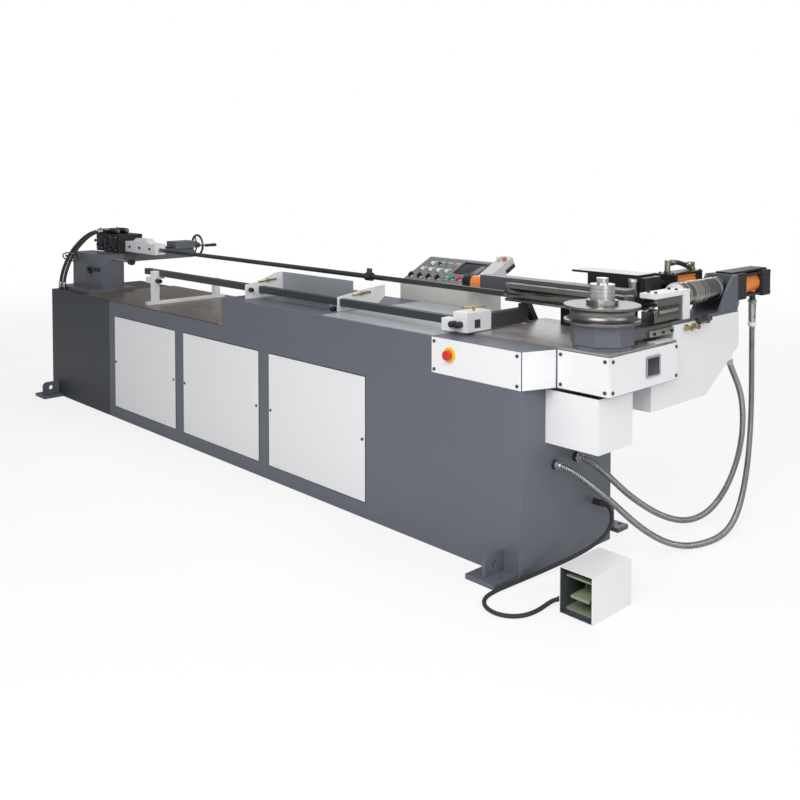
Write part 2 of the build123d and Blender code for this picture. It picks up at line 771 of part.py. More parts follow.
# Button-head screws of the panels
panel_middle = PANEL_BASE + PANEL_HEIGHT / 2
with BuildPart() as panel_screws:
    for left in panel_lefts:
        for along in (left + SCREW_INSET, left + PANEL_WIDTH - SCREW_INSET):
            rod_y(along, (FRONT - PANEL_THICK - SCREW_HEAD, FRONT - PANEL_THICK), panel_middle, SCREW_R)
    for along in (END - ESTOP_PANEL_LENGTH + SCREW_INSET, END - SCREW_INSET):
        for height in (skirt_z[0] + SCREW_INSET, skirt_z[1] - SCREW_INSET):
            rod_y(along, (FRONT - SKIRT_THICK - SCREW_HEAD, FRONT - SKIRT_THICK), height, SCREW_R)
    for along in (END + NOSE_X + SKIRT_THICK + SCREW_INSET, HEAD_RIGHT - SCREW_INSET):
        for height in (skirt_z[0] + SCREW_INSET, skirt_z[1] - SCREW_INSET):
            rod_y(along, (NOSE_FRONT - SKIRT_THICK - SCREW_HEAD, NOSE_FRONT - SKIRT_THICK), height, SCREW_R)
    for across in (NOSE_FRONT + SCREW_INSET, HEAD_BACK - SCREW_INSET):
        for height in (skirt_z[0] + SCREW_INSET, skirt_z[1] - SCREW_INSET):
            rod_x((HEAD_RIGHT + SKIRT_THICK, HEAD_RIGHT + SKIRT_THICK + SCREW_HEAD), across, height, SCREW_R)

# Sheet guard round the spindle's foot, open at the top
guard_x = (END, END + GUARD_REACH)
guard_y = (FRONT + GUARD_START, FRONT + GUARD_START + GUARD_WIDTH)
guard_top = GUARD_BASE + GUARD_HEIGHT
with BuildPart() as spindle_guard_box:
    block(guard_x, guard_y, (GUARD_BASE, guard_top))
    block(
        (guard_x[0] + GUARD_WALL, guard_x[1] - GUARD_WALL),
        (guard_y[0] + GUARD_WALL, guard_y[1] - GUARD_WALL),
        (GUARD_BASE + GUARD_WALL, guard_top),
        Mode.SUBTRACT,
    )

# Spindle housing: a flanged sleeve bolted to the head plate
housing_base = DECK_TOP - HOUSING_DROP
flange_top = HEAD_TOP + FLANGE_THICK
bearing_low = housing_base + HOUSING_LIP
bearing_high = flange_top - HOUSING_LIP - BEARING_WIDTH
with BuildPart() as spindle_housing:
    rod_z(AXIS_X, AXIS_Y, (housing_base, HEAD_TOP), HOUSING_R)
    rod_z(AXIS_X, AXIS_Y, (HEAD_TOP, flange_top), FLANGE_R)
    rod_z(AXIS_X, AXIS_Y, (housing_base, flange_top), SPINDLE_R + 2 * SLIDE, Mode.SUBTRACT)
    rod_z(AXIS_X, AXIS_Y, (bearing_low, flange_top - HOUSING_LIP), BEARING_R + RUN, Mode.SUBTRACT)

# Spindle bearings: two rings in the housing
with BuildPart() as spindle_bearings:
    for base in (bearing_low, bearing_high):
        rod_z(AXIS_X, AXIS_Y, (base, base + BEARING_WIDTH), BEARING_R)
        rod_z(AXIS_X, AXIS_Y, (base, base + BEARING_WIDTH), SPINDLE_R + RUN, Mode.SUBTRACT)

# Main spindle, from its foot in the guard to its nose above the die
with BuildPart() as main_spindle:
    rod_z(AXIS_X, AXIS_Y, (SPINDLE_FOOT, SPINDLE_STEP), SPINDLE_TAIL_R)
    rod_z(AXIS_X, AXIS_Y, (SPINDLE_STEP, SPINDLE_NOSE), SPINDLE_R)
    rod_z(AXIS_X, AXIS_Y, (SPINDLE_NOSE, SPINDLE_NOSE + SPINDLE_STUB), SPINDLE_STUB_R)

# Bend die: a round block with the tube's groove in its rim
with BuildPart() as bend_die:
    rod_z(AXIS_X, AXIS_Y, (DIE_BASE, DIE_BASE + DIE_HEIGHT), DIE_RIM_R)
    rod_z(AXIS_X, AXIS_Y, (HUB_TOP, DIE_BASE + DIE_HEIGHT + DIE_BOSS_RISE), DIE_BOSS_R)
    with Locations((AXIS_X, AXIS_Y, TUBE_Z)):
        Torus(BEND_RADIUS, GROOVE_R, mode=Mode.SUBTRACT)
    bore_top = DIE_BASE + DIE_HEIGHT + DIE_BOSS_RISE
    rod_z(AXIS_X, AXIS_Y, (HUB_TOP, bore_top), SPINDLE_R + RUN, Mode.SUBTRACT)

# Drive sprocket on the spindle
with BuildPart() as drive_sprocket:
    rod_z(AXIS_X, AXIS_Y, (sprocket_base, sprocket_top), SPROCKET_R)
    rod_z(AXIS_X, AXIS_Y, (sprocket_base, sprocket_top), SPINDLE_R + RUN, Mode.SUBTRACT)

# Idler sprocket on the deck's pin
with BuildPart() as idler_sprocket:
    rod_z(idler_x, AXIS_Y, (sprocket_base, sprocket_top), SPROCKET_R)
    rod_z(idler_x, AXIS_Y, (sprocket_base, sprocket_top), IDLER_PIN_R + RUN, Mode.SUBTRACT)

# Bend chain: a closed loop round the two sprockets
with BuildPart() as bend_chain:
    with BuildSketch(Plane.XY.offset(CHAIN_Z - CHAIN_WIDTH / 2)):
        with Locations((AXIS_X - IDLER_SPAN / 2, AXIS_Y)):
            SlotCenterToCenter(IDLER_SPAN, 2 * CHAIN_OUT_R)
            SlotCenterToCenter(IDLER_SPAN, 2 * CHAIN_IN_R, mode=Mode.SUBTRACT)
    extrude(amount=CHAIN_WIDTH)

# Chain yoke: the bend ram's rod and the block that pulls the chain
rod_line_y = AXIS_Y - CHAIN_OUT_R - BEND_ROD_R - YOKE_GAP
yoke_x = AXIS_X - YOKE_SETBACK
with BuildPart() as chain_yoke:
    block(
        (yoke_x - YOKE_LENGTH, yoke_x),
        (rod_line_y - YOKE_HEIGHT / 2, AXIS_Y - CHAIN_OUT_R - YOKE_GAP),
        (CHAIN_Z - YOKE_HEIGHT / 2, CHAIN_Z + YOKE_HEIGHT / 2),
    )
    rod_x((yoke_x - YOKE_LENGTH - BEND_ROD_LENGTH, yoke_x - YOKE_LENGTH), rod_line_y, CHAIN_Z, BEND_ROD_R)

# Bend ram on the floor of the deck
barrel_right = AXIS_X - BEND_BARREL_SETBACK
barrel_left = barrel_right - BEND_BARREL_LENGTH
with BuildPart() as bend_cylinder:
    rod_x((barrel_left, barrel_right), rod_line_y, CHAIN_Z, BEND_BARREL_R)
    for left in (barrel_left, barrel_right - BEND_FOOT_LENGTH):
        block(
            (left, left + BEND_FOOT_LENGTH),
            (rod_line_y - BEND_BARREL_R, rod_line_y + BEND_BARREL_R),
            (BED_HEIGHT + DECK_WALL, CHAIN_Z),
        )
    rod_x(
        (barrel_left + BEND_FOOT_LENGTH, barrel_right - BEND_FOOT_LENGTH),
        rod_line_y,
        CHAIN_Z,
        BEND_BARREL_BORE,
        Mode.SUBTRACT,
    )
    rod_x((barrel_right - BEND_FOOT_LENGTH, barrel_right), rod_line_y, CHAIN_Z, BEND_ROD_R + RUN, Mode.SUBTRACT)

# Swing arm: hub, beam, two cheeks and an end plate for the clamp ram
cheek_profile = [
    (ARM_END - CHEEK_FOOT, ARM_TOP),
    (ARM_END, ARM_TOP),
    (ARM_END, CHEEK_TOP),
    (ARM_END - CHEEK_CREST, CHEEK_TOP),
    (ARM_END - CHEEK_NOSE, CHEEK_NOSE_Z),
]
with BuildPart() as swing_arm:
    with BuildSketch(Plane.XY.offset(ARM_BASE)):
        with Locations((AXIS_X, AXIS_Y)):
            RegularPolygon(HUB_APOTHEM, 8, major_radius=False, rotation=180 / 8)
    extrude(amount=HUB_TOP - ARM_BASE)
    block((ARM_LEFT, ARM_RIGHT), (AXIS_Y, ARM_END), (ARM_BASE, ARM_TOP))
    for left in (ARM_LEFT, ARM_RIGHT - CHEEK_THICK):
        rib(cheek_profile, (left, left + CHEEK_THICK))
    block((ARM_LEFT, ARM_RIGHT), (ARM_END - ARM_END_THICK, ARM_END), (ARM_TOP, CHEEK_TOP))
    rod_z(AXIS_X, AXIS_Y, (ARM_BASE, HUB_TOP), SPINDLE_R + RUN, Mode.SUBTRACT)
    rod_y(AXIS_X, (ARM_END - ARM_END_THICK, ARM_END), CLAMP_Z, CLAMP_ROD_R + RUN, Mode.SUBTRACT)

# Arm housing: a sheet shell hung from the beam, with a boss on its slope for a conduit
shell_near = AXIS_Y + SHELL_NEAR
shell_step = AXIS_Y + SHELL_STEP
shell_knee = AXIS_Y + SHELL_KNEE
shell_far = AXIS_Y + SHELL_FAR
shell_profile = [
    (shell_near, SHELL_BASE),
    (shell_knee, SHELL_BASE),
    (shell_far, SHELL_KNEE_Z),
    (shell_far, SHELL_TOP),
    (shell_step, SHELL_TOP),
    (shell_step, SHELL_STEP_Z),
    (shell_near, SHELL_STEP_Z),
]
slope_angle = atan2(SHELL_KNEE_Z - SHELL_BASE, shell_far - shell_knee)
slope_down = Vector(0, sin(slope_angle), -cos(slope_angle))
arm_port_x = AXIS_X + ARM_PORT_OFFSET
arm_port = Vector(arm_port_x, shell_knee + ARM_PORT_RUN, SHELL_BASE + ARM_PORT_RUN * tan(slope_angle))
with BuildPart() as arm_housing:
    rib(shell_profile, (ARM_LEFT - SHELL_WALL, ARM_RIGHT + SHELL_WALL))
    rib(shell_profile, (ARM_LEFT, ARM_RIGHT), Mode.SUBTRACT, SHELL_WALL)
    block(
        (ARM_LEFT, ARM_RIGHT),
        (shell_step, shell_far - SHELL_WALL),
        (ARM_BASE - SEAT, SHELL_TOP),
        Mode.SUBTRACT,
    )
    with BuildSketch(Plane(origin=arm_port, z_dir=slope_down)):
        Circle(GLAND_R)
    extrude(amount=GLAND_LENGTH)

# Clamp ram behind the arm, with a cover plate on top and a port below
clamp_lengths = (CLAMP_FRONT_HEAD, CLAMP_BARREL, CLAMP_BACK_HEAD)
clamp_end = ARM_END + sum(clamp_lengths)
clamp_port_x = AXIS_X + CLAMP_PORT_OFFSET
clamp_port_y = clamp_end - CLAMP_PORT_INSET
clamp_bottom = CLAMP_Z - CLAMP_HEAD / 2
clamp_top = CLAMP_Z + CLAMP_HEAD / 2
with BuildPart() as clamp_cylinder:
    ram(AXIS_X, CLAMP_Z, ARM_END, clamp_lengths, CLAMP_HEAD, CLAMP_BARREL_R, CLAMP_BORE_R, CLAMP_ROD_R)
    block(
        (AXIS_X - CLAMP_COVER_WIDTH / 2, AXIS_X + CLAMP_COVER_WIDTH / 2),
        (ARM_END, clamp_end),
        (clamp_top, clamp_top + CLAMP_COVER_THICK),
    )
    rod_z(clamp_port_x, clamp_port_y, (clamp_bottom - PORT_LENGTH, CLAMP_Z - CLAMP_BORE_R), PORT_R)

# Clamp slide: a hooked block, its coupling and the ram's rod and piston
slide_near = AXIS_Y + CLAMP_SLIDE_START
slide_far = slide_near + CLAMP_SLIDE_LENGTH
slide_right = ARM_RIGHT
slide_left = slide_right - CLAMP_SLIDE_WIDTH
slide_top = CLAMP_SLIDE_BASE + CLAMP_SLIDE_THICK
coupling_end = slide_far + COUPLING_LENGTH
piston_start = ARM_END + CLAMP_FRONT_HEAD + CLAMP_TRAVEL + SLIDE
with BuildPart() as clamp_slide:
    block((slide_left, slide_right), (slide_near, slide_far), (CLAMP_SLIDE_BASE, slide_top))
    block((slide_left, slide_right), (slide_far - CLAMP_BLOCK, slide_far), (ARM_TOP + SLIDE, slide_top))
    rod_y(AXIS_X, (slide_far, coupling_end), CLAMP_Z, COUPLING_R)
    rod_y(AXIS_X, (coupling_end, piston_start + CLAMP_PISTON_LENGTH), CLAMP_Z, CLAMP_ROD_R)
    rod_y(AXIS_X, (piston_start, piston_start + CLAMP_PISTON_LENGTH), CLAMP_Z, CLAMP_BORE_R - SLIDE)

# Clamp die, hung in the clamp slide's hook
die_back = slide_far - CLAMP_BLOCK - SEAT
die_face = die_back - CLAMP_DIE_LENGTH
clamp_die_right = slide_right - CLAMP_DIE_INSET
with BuildPart() as clamp_die:
    block(
        (clamp_die_right - CLAMP_DIE_WIDTH, clamp_die_right),
        (die_face, die_back),
        (CLAMP_DIE_BASE, CLAMP_SLIDE_BASE - SEAT),
    )
    rod_x(
        (clamp_die_right - CLAMP_DIE_WIDTH, clamp_die_right),
        TUBE_Y + CLAMP_TRAVEL,
        TUBE_Z,
        GROOVE_R,
        Mode.SUBTRACT,
    )

# Pressure base: pedestal on the head plate, guide beam and rear plate
guide_y = FRONT + PEDESTAL_START
guide_x = (END - GUIDE_LEFT, END + GUIDE_RIGHT)
guide_end = guide_y + GUIDE_LENGTH
guide_top = GUIDE_BASE + GUIDE_THICK
ram_x = END + PRESS_RAM_X
with BuildPart() as pressure_base:
    block(
        (END - PEDESTAL_LEFT, END + PEDESTAL_RIGHT),
        (guide_y, guide_y + PEDESTAL_DEPTH),
        (HEAD_TOP, GUIDE_BASE),
    )
    block(guide_x, (guide_y + GUIDE_NOSE, guide_end), (GUIDE_BASE, guide_top))
    block(guide_x, (guide_end - REAR_PLATE_THICK, guide_end), (GUIDE_BASE, REAR_PLATE_TOP))
    rod_y(ram_x, (guide_end - REAR_PLATE_THICK, guide_end), PRESS_RAM_Z, PRESS_ROD_R + RUN, Mode.SUBTRACT)

# Pressure ram behind the rear plate, with an elbow on each head
press_lengths = (PRESS_FRONT_HEAD, PRESS_BARREL, PRESS_BACK_HEAD)
press_end = guide_end + sum(press_lengths)
press_top = PRESS_RAM_Z + PRESS_HEAD / 2
front_port_y = guide_end + PRESS_FRONT_HEAD / 2
back_port_y = press_end - PRESS_BACK_HEAD / 2
with BuildPart() as pressure_cylinder:
    ram(ram_x, PRESS_RAM_Z, guide_end, press_lengths, PRESS_HEAD, PRESS_BARREL_R, PRESS_BORE_R, PRESS_ROD_R)
    for across, rise, reach in (
        (front_port_y, FRONT_ELBOW_RISE, ELBOW_REACH),
        (back_port_y, BACK_ELBOW_RISE, -ELBOW_REACH),
    ):
        elbow_z = press_top + rise
        rod_z(ram_x, across, (press_top, elbow_z + HOSE_PORT_R), HOSE_PORT_R)
        rod_y(ram_x, (min(across, across + reach), max(across, across + reach)), elbow_z, HOSE_PORT_R)

# Pressure slide: hollow beam, saddle on the guide, rod with piston, and a stay behind the beam
beam_front = TUBE_Y + PRESS_TRAVEL + PRESS_GAP + PRESS_DIE_DEPTH
beam_back = beam_front + PRESS_BEAM_DEPTH
beam_x = (END - PRESS_BEAM_LEFT, END + PRESS_BEAM_RIGHT)
beam_top = PRESS_BEAM_BASE + PRESS_BEAM_HEIGHT
beam_mid_y = (beam_front + beam_back) / 2
beam_mid_z = (PRESS_BEAM_BASE + beam_top) / 2
key_left = END - KEY_LEFT
block_start = FRONT + SADDLE_BLOCK_START
block_end = block_start + SADDLE_BLOCK_DEPTH
press_piston = guide_end + PRESS_PISTON
stay_x = (END - STAY_X - STAY_WIDTH / 2, END - STAY_X + STAY_WIDTH / 2)
stay_profile = [
    (beam_back - STAY_WIDTH, PRESS_BEAM_BASE),
    (beam_back, PRESS_BEAM_BASE),
    (beam_back + STAY_LEAN, DECK_TOP + STAY_FOOT),
    (beam_back + STAY_LEAN - STAY_WIDTH, DECK_TOP + STAY_FOOT),
]
with BuildPart() as pressure_slide:
    block(beam_x, (beam_front, beam_back), (PRESS_BEAM_BASE, beam_top))
    block(
        (beam_x[0] + PRESS_BEAM_WALL, beam_x[1] - PRESS_BEAM_WALL),
        (beam_front + PRESS_BEAM_WALL, beam_back - PRESS_BEAM_WALL),
        (PRESS_BEAM_BASE + PRESS_BEAM_WALL, beam_top - PRESS_BEAM_WALL),
        Mode.SUBTRACT,
    )
    block(
        (key_left - BOOST_TRAVEL - PRESS_BEAM_WALL, beam_x[1] - PRESS_BEAM_WALL),
        (beam_front, beam_front + PRESS_BEAM_WALL),
        (beam_mid_z - KEY_HEIGHT / 2 - SLIDE, beam_mid_z + KEY_HEIGHT / 2 + SLIDE),
        Mode.SUBTRACT,
    )
    rod_x((beam_x[0], beam_x[0] + PRESS_BEAM_WALL), beam_mid_y, beam_mid_z, BOOST_INNER_R + SEAT, Mode.SUBTRACT)
    block((guide_x[0], guide_x[1]), (beam_back, block_end), (guide_top + SLIDE, guide_top + SADDLE_THICK))
    block(
        (guide_x[0] - SADDLE_CHEEK, guide_x[0] - SLIDE),
        (beam_back, block_end),
        (GUIDE_BASE + SLIDE, guide_top + SADDLE_THICK),
    )
    block(
        (END - SADDLE_BLOCK_LEFT, guide_x[1]),
        (block_start, block_end),
        (guide_top + SADDLE_THICK, TOP_PLATE_Z - SEAT),
    )
    rod_y(ram_x, (block_end, press_piston), PRESS_RAM_Z, PRESS_ROD_R)
    rod_y(ram_x, (press_piston, press_piston + PRESS_PISTON_LENGTH), PRESS_RAM_Z, PRESS_BORE_R - SLIDE)
    rib(stay_profile, stay_x)

# Top plate of the pressure slide
with BuildPart() as pressure_top_plate:
    block(
        (END - TOP_PLATE_LEFT, END + TOP_PLATE_RIGHT),
        (block_start, block_end),
        (TOP_PLATE_Z, TOP_PLATE_Z + TOP_PLATE_THICK),
    )

# Boost ram, half inside the beam
boost_outer = beam_x[0] - BOOST_LENGTH
boost_tip = key_left - BOOST_TRAVEL - SLIDE
with BuildPart() as boost_cylinder:
    rod_x((boost_outer, beam_x[0]), beam_mid_y, beam_mid_z, BOOST_R)
    rod_x((beam_x[0], boost_tip), beam_mid_y, beam_mid_z, BOOST_INNER_R)
    rod_x((boost_outer + BOOST_CAP, boost_tip - BOOST_CAP), beam_mid_y, beam_mid_z, BOOST_BORE_R, Mode.SUBTRACT)
    rod_x((boost_tip - BOOST_CAP, boost_tip), beam_mid_y, beam_mid_z, BOOST_ROD_R + RUN, Mode.SUBTRACT)

# Pressure die, with its key in the beam and the boost ram's rod
die_x = (END - PRESS_DIE_LEFT, END + PRESS_DIE_RIGHT)
with BuildPart() as pressure_die:
    block(
        die_x,
        (beam_front - PRESS_DIE_DEPTH, beam_front - SLIDE),
        (PRESS_DIE_BASE, PRESS_DIE_BASE + PRESS_DIE_HEIGHT),
    )
    rod_x(die_x, TUBE_Y + PRESS_TRAVEL, TUBE_Z, GROOVE_R, Mode.SUBTRACT)
    block(
        (key_left, END + KEY_RIGHT),
        (beam_front - SLIDE, beam_front + KEY_DEPTH),
        (beam_mid_z - KEY_HEIGHT / 2, beam_mid_z + KEY_HEIGHT / 2),
    )
    rod_x((boost_tip - BOOST_CAP - BOOST_ROD_TAIL, key_left), beam_mid_y, beam_mid_z, BOOST_ROD_R)

# Tail bracket: base plate and post
post_x = (TAIL + POST_INSET, TAIL + POST_INSET + POST_LENGTH)
post_y = (FRONT + POST_START, FRONT + POST_START + POST_DEPTH)
with BuildPart() as tail_bracket:
    block(
        (TAIL + BRACKET_INSET, TAIL + BRACKET_INSET + BRACKET_LENGTH),
        (FRONT + BRACKET_START, FRONT + BRACKET_START + BRACKET_DEPTH),
        (BED_HEIGHT, BED_HEIGHT + BRACKET_THICK),
    )
    block(post_x, post_y, (BED_HEIGHT + BRACKET_THICK, BEAM_BASE))

# Cross beam, with its front block, the screw's bearing block and the lock rod
beam_left = TAIL + BEAM_INSET
beam_right = beam_left + BEAM_LENGTH
beam_far = post_y[0] + BEAM_DEPTH
screw_x = TAIL + SCREW_X
lock_y = FRONT + LOCK_ROD_START
lock_end = post_x[1] + LOCK_ROD_LENGTH
with BuildPart() as cross_beam:
    block((beam_left, beam_right), (post_y[0], beam_far), (BEAM_BASE, BEAM_TOP))
    block(post_x, post_y, (BEAM_BASE, BEAM_TOP))
    block(
        (screw_x - BLOCK_WIDTH / 2, screw_x + BLOCK_WIDTH / 2),
        (beam_far - BLOCK_DEPTH, beam_far),
        (BEAM_TOP, BEAM_TOP + BLOCK_HEIGHT),
    )
    rod_y(screw_x, (beam_far - BLOCK_DEPTH, beam_far), SCREW_Z, LEAD_SCREW_R + RUN, Mode.SUBTRACT)
    rod_x((post_x[1], lock_end), lock_y, LOCK_ROD_Z, LOCK_ROD_R)
    rod_x((lock_end - LOCK_KNOB_LENGTH, lock_end), lock_y, LOCK_ROD_Z, LOCK_KNOB_R)

# Mandrel carriage: the ram block that slides along the cross beam, with a valve on top
carriage_x = (TAIL + CARRIAGE_INSET, TAIL + CARRIAGE_INSET + CARRIAGE_LENGTH)
carriage_y = (TUBE_Y - CARRIAGE_LEAD, TUBE_Y - CARRIAGE_LEAD + CARRIAGE_DEPTH)
piston_left = carriage_x[1] - PISTON_LENGTH
with BuildPart() as mandrel_carriage:
    block(carriage_x, carriage_y, (BEAM_TOP + SLIDE, CARRIAGE_TOP))
    block(
        (carriage_x[0], carriage_x[0] + VALVE_LENGTH),
        carriage_y,
        (CARRIAGE_TOP, CARRIAGE_TOP + VALVE_HEIGHT),
    )
    rod_x((piston_left - PISTON_R, carriage_x[1]), TUBE_Y, TUBE_Z, PISTON_R + RUN, Mode.SUBTRACT)
    rod_y(screw_x, carriage_y, SCREW_Z, LEAD_SCREW_R + SLIDE, Mode.SUBTRACT)

# Mandrel clevis on the ram's piston rod
clevis_x = (carriage_x[1] + SLIDE, carriage_x[1] + SLIDE + CLEVIS_LENGTH)
with BuildPart() as mandrel_clevis:
    block(
        clevis_x,
        (TUBE_Y - CLEVIS_DEPTH / 2, TUBE_Y + CLEVIS_DEPTH / 2),
        (CLEVIS_BASE, CLEVIS_BASE + CLEVIS_HEIGHT),
    )
    rod_x((piston_left, clevis_x[0]), TUBE_Y, TUBE_Z, PISTON_R)

# Mandrel rod along the tube line, with a collar and two knobs
collar_x = END - COLLAR_X
with BuildPart() as mandrel_rod:
    rod_x((clevis_x[1], END - MANDREL_TIP), TUBE_Y, TUBE_Z, MANDREL_R)
    rod_x((collar_x, collar_x + COLLAR_LENGTH), TUBE_Y, TUBE_Z, COLLAR_R)
    for along in (collar_x + COLLAR_LENGTH / 4, collar_x + 3 * COLLAR_LENGTH / 4):
        rod_z(along, TUBE_Y, (TUBE_Z, TUBE_Z + COLLAR_R + COLLAR_KNOB), COLLAR_KNOB_R)

# Handwheel: rim, spokes, hub, crank handle and lead screw
wheel_y = beam_far + WHEEL_GAP + WHEEL_WIDTH / 2
crank_x = screw_x + WHEEL_R
with BuildPart() as handwheel:
    rod_y(screw_x, (wheel_y - WHEEL_RIM_R, wheel_y + WHEEL_RIM_R), SCREW_Z, WHEEL_R + WHEEL_RIM_R)
    rod_y(screw_x, (wheel_y - WHEEL_RIM_R, wheel_y + WHEEL_RIM_R), SCREW_Z, WHEEL_R - WHEEL_RIM_R, Mode.SUBTRACT)
    rod_y(screw_x, (wheel_y - WHEEL_WIDTH / 2, wheel_y + WHEEL_WIDTH / 2), SCREW_Z, WHEEL_HUB_R)
    rod_x((screw_x - WHEEL_R, screw_x + WHEEL_R), wheel_y, SCREW_Z, SPOKE_R)
    rod_z(screw_x, wheel_y, (SCREW_Z - WHEEL_R, SCREW_Z + WHEEL_R), SPOKE_R)
    rod_y(crank_x, (wheel_y, wheel_y + CRANK_LENGTH), SCREW_Z, CRANK_R)
    rod_y(screw_x, (carriage_y[1] - SCREW_ENGAGE, wheel_y), SCREW_Z, LEAD_SCREW_R)

# Length gauge bar
bar_y = FRONT + BAR_Y
bar_wide = (bar_y - BAR_SIDE / 2, bar_y + BAR_SIDE / 2)
bar_tall = (BAR_Z - BAR_SIDE / 2, BAR_Z + BAR_SIDE / 2)
with BuildPart() as gauge_bar:
    block((TAIL_JOIN + BAR_LEFT, END - BAR_RIGHT), bar_wide, bar_tall)

# Stand of the gauge bar on the tail plate
stand_mid = TAIL_JOIN + STAND_X
stand_x = (stand_mid - STAND_WIDTH / 2, stand_mid + STAND_WIDTH / 2)
stand_y = FRONT + STAND_START
post_front = bar_wide[0] - SEAT
with BuildPart() as gauge_support:
    block(stand_x, (stand_y, stand_y + STAND_DEPTH), (TAIL_TOP, TAIL_TOP + STAND_FOOT))
    block(stand_x, (post_front - STAND_POST, post_front), (TAIL_TOP, STAND_POST_TOP))
    block(stand_x, (post_front, bar_wide[1]), (bar_tall[0] - SEAT - STAND_FOOT, bar_tall[0] - SEAT))
    rear_y = FRONT + STAND_REAR_Y
    block(stand_x, (rear_y, rear_y + STAND_POST), (TAIL_TOP, STAND_REAR_TOP))
    rod_x((stand_x[1], stand_x[1] + STAND_KNOB), post_front - STAND_POST / 2, STAND_KNOB_Z, STAND_KNOB_R)
    block(
        (stand_x[0] - STAND_BOSS, stand_x[0]),
        (post_front - STAND_POST, post_front),
        (STAND_KNOB_Z - STAND_BOSS_HEIGHT / 2, STAND_KNOB_Z + STAND_BOSS_HEIGHT / 2),
    )

# Tube rest: two plates square to the bar, a long panel and a block under the bar
rest_panel_y = FRONT + REST_PANEL_Y
tail_rest = [
    (FRONT + TAIL_REST_FRONT, DECK_TOP),
    (rest_panel_y, DECK_TOP),
    (rest_panel_y, REST_PANEL_TOP),
    (rest_panel_y - TAIL_REST_LEDGE, REST_PANEL_TOP),
    (FRONT + TAIL_REST_KNEE, bar_tall[1] + TAIL_REST_KNEE_RISE),
    (FRONT + TAIL_REST_FRONT, bar_tall[1] + TAIL_REST_FRONT_RISE),
]
head_rest = [
    (FRONT + HEAD_REST_FRONT, DECK_TOP),
    (FRONT + HEAD_REST_FOOT, DECK_TOP),
    (FRONT + HEAD_REST_BACK, DECK_TOP + HEAD_REST_BACK_BASE),
    (FRONT + HEAD_REST_BACK, DECK_TOP + HEAD_REST_BACK_RISE),
    (FRONT + HEAD_REST_KNEE, DECK_TOP + HEAD_REST_KNEE_RISE),
    (FRONT + HEAD_REST_FRONT, DECK_TOP + HEAD_REST_FRONT_RISE),
]
rest_tail = END - REST_TAIL_X
rest_head = END - REST_HEAD_X
notch_base = REST_PANEL_TOP - REST_NOTCH_HEIGHT
with BuildPart() as stock_tray:
    rib(tail_rest, (rest_tail, rest_tail + REST_THICK))
    rib(head_rest, (rest_head - REST_THICK, rest_head))
    block(
        (rest_tail, rest_head),
        (rest_panel_y - REST_THICK, rest_panel_y),
        (DECK_TOP + REST_THICK, notch_base),
    )
    block(
        (rest_tail, rest_head - REST_NOTCH_LENGTH),
        (rest_panel_y - REST_THICK, rest_panel_y),
        (notch_base, REST_PANEL_TOP),
    )
    for left in (rest_tail + REST_THICK, rest_head - REST_THICK - REST_FLANGE):
        block(
            (left, left + REST_FLANGE),
            (FRONT + TAIL_REST_KNEE, rest_panel_y - REST_THICK),
            (DECK_TOP, DECK_TOP + REST_FLANGE_THICK),
        )
    block(
        (rest_head - REST_THICK - REST_BLOCK_LENGTH, rest_head - REST_THICK),
        bar_wide,
        (DECK_TOP, bar_tall[0] - SEAT),
    )
    block(
        (rest_tail, rest_head),
        (bar_wide[0] - SEAT, bar_wide[1] + SEAT),
        (bar_tall[0] - SEAT, bar_tall[1] + SEAT),
        Mode.SUBTRACT,
    )

# Gauge carriage on the bar, with a latch block, a cross arm and a stop finger
box_x = (END - BAR_RIGHT - CARRIAGE_BOX_LENGTH, END - BAR_RIGHT)
box_y = (bar_y - CARRIAGE_BOX_FRONT, bar_y + CARRIAGE_BOX_BACK)
box_z = (CARRIAGE_BOX_BASE, CARRIAGE_BOX_BASE + CARRIAGE_BOX_HEIGHT)
cross_x = (box_x[1] - CROSS_WIDTH, box_x[1])
cross_top = CROSS_BASE + CROSS_HEIGHT
gauge_far = FRONT + CROSS_END
with BuildPart() as gauge_carriage:
    block(box_x, box_y, box_z)
    block(
        box_x,
        (bar_wide[0] - SLIDE, bar_wide[1] + SLIDE),
        (bar_tall[0] - SLIDE, bar_tall[1] + SLIDE),
        Mode.SUBTRACT,
    )
    block(
        (box_x[0] - LATCH_LENGTH, box_x[0]),
        (box_y[0], bar_wide[0] - SLIDE),
        (LATCH_BASE, LATCH_BASE + LATCH_HEIGHT),
    )
    block(cross_x, (box_y[1], gauge_far), (CROSS_BASE, cross_top))
    block(cross_x, (gauge_far - FINGER_DEPTH, gauge_far), (cross_top, FINGER_TOP))
    knob_x = box_x[0] + GAUGE_KNOB_R
    for along in (knob_x, knob_x + GAUGE_KNOB_PITCH):
        rod_y(along, (box_y[0] - GAUGE_KNOB, box_y[0]), BAR_Z, GAUGE_KNOB_R)

# Console body behind the deck: a sloped desk with a raised side box at its right end
console_x = (END - CONSOLE_LEFT, END - CONSOLE_RIGHT)
console_back = BACK + CONSOLE_DEPTH
console_slope = atan2(CONSOLE_TOP - CONSOLE_LIP, CONSOLE_RUN)
console_profile = [
    (BACK, CONSOLE_BASE),
    (BACK, CONSOLE_LIP),
    (BACK + CONSOLE_RUN, CONSOLE_TOP),
    (console_back, CONSOLE_TOP),
    (console_back, CONSOLE_BASE),
]
console_plane = Plane(
    origin=(console_x[0], BACK, CONSOLE_LIP),
    x_dir=(1, 0, 0),
    z_dir=(0, -sin(console_slope), cos(console_slope)),
)
slope_length = Vector(CONSOLE_RUN, CONSOLE_TOP - CONSOLE_LIP).length
face_width = CONSOLE_LEFT - FACE_RIGHT - FACE_MARGIN
face_length = slope_length - 2 * FACE_MARGIN
cheek_left = CONSOLE_LEFT - CONSOLE_RIGHT - CONSOLE_WALL
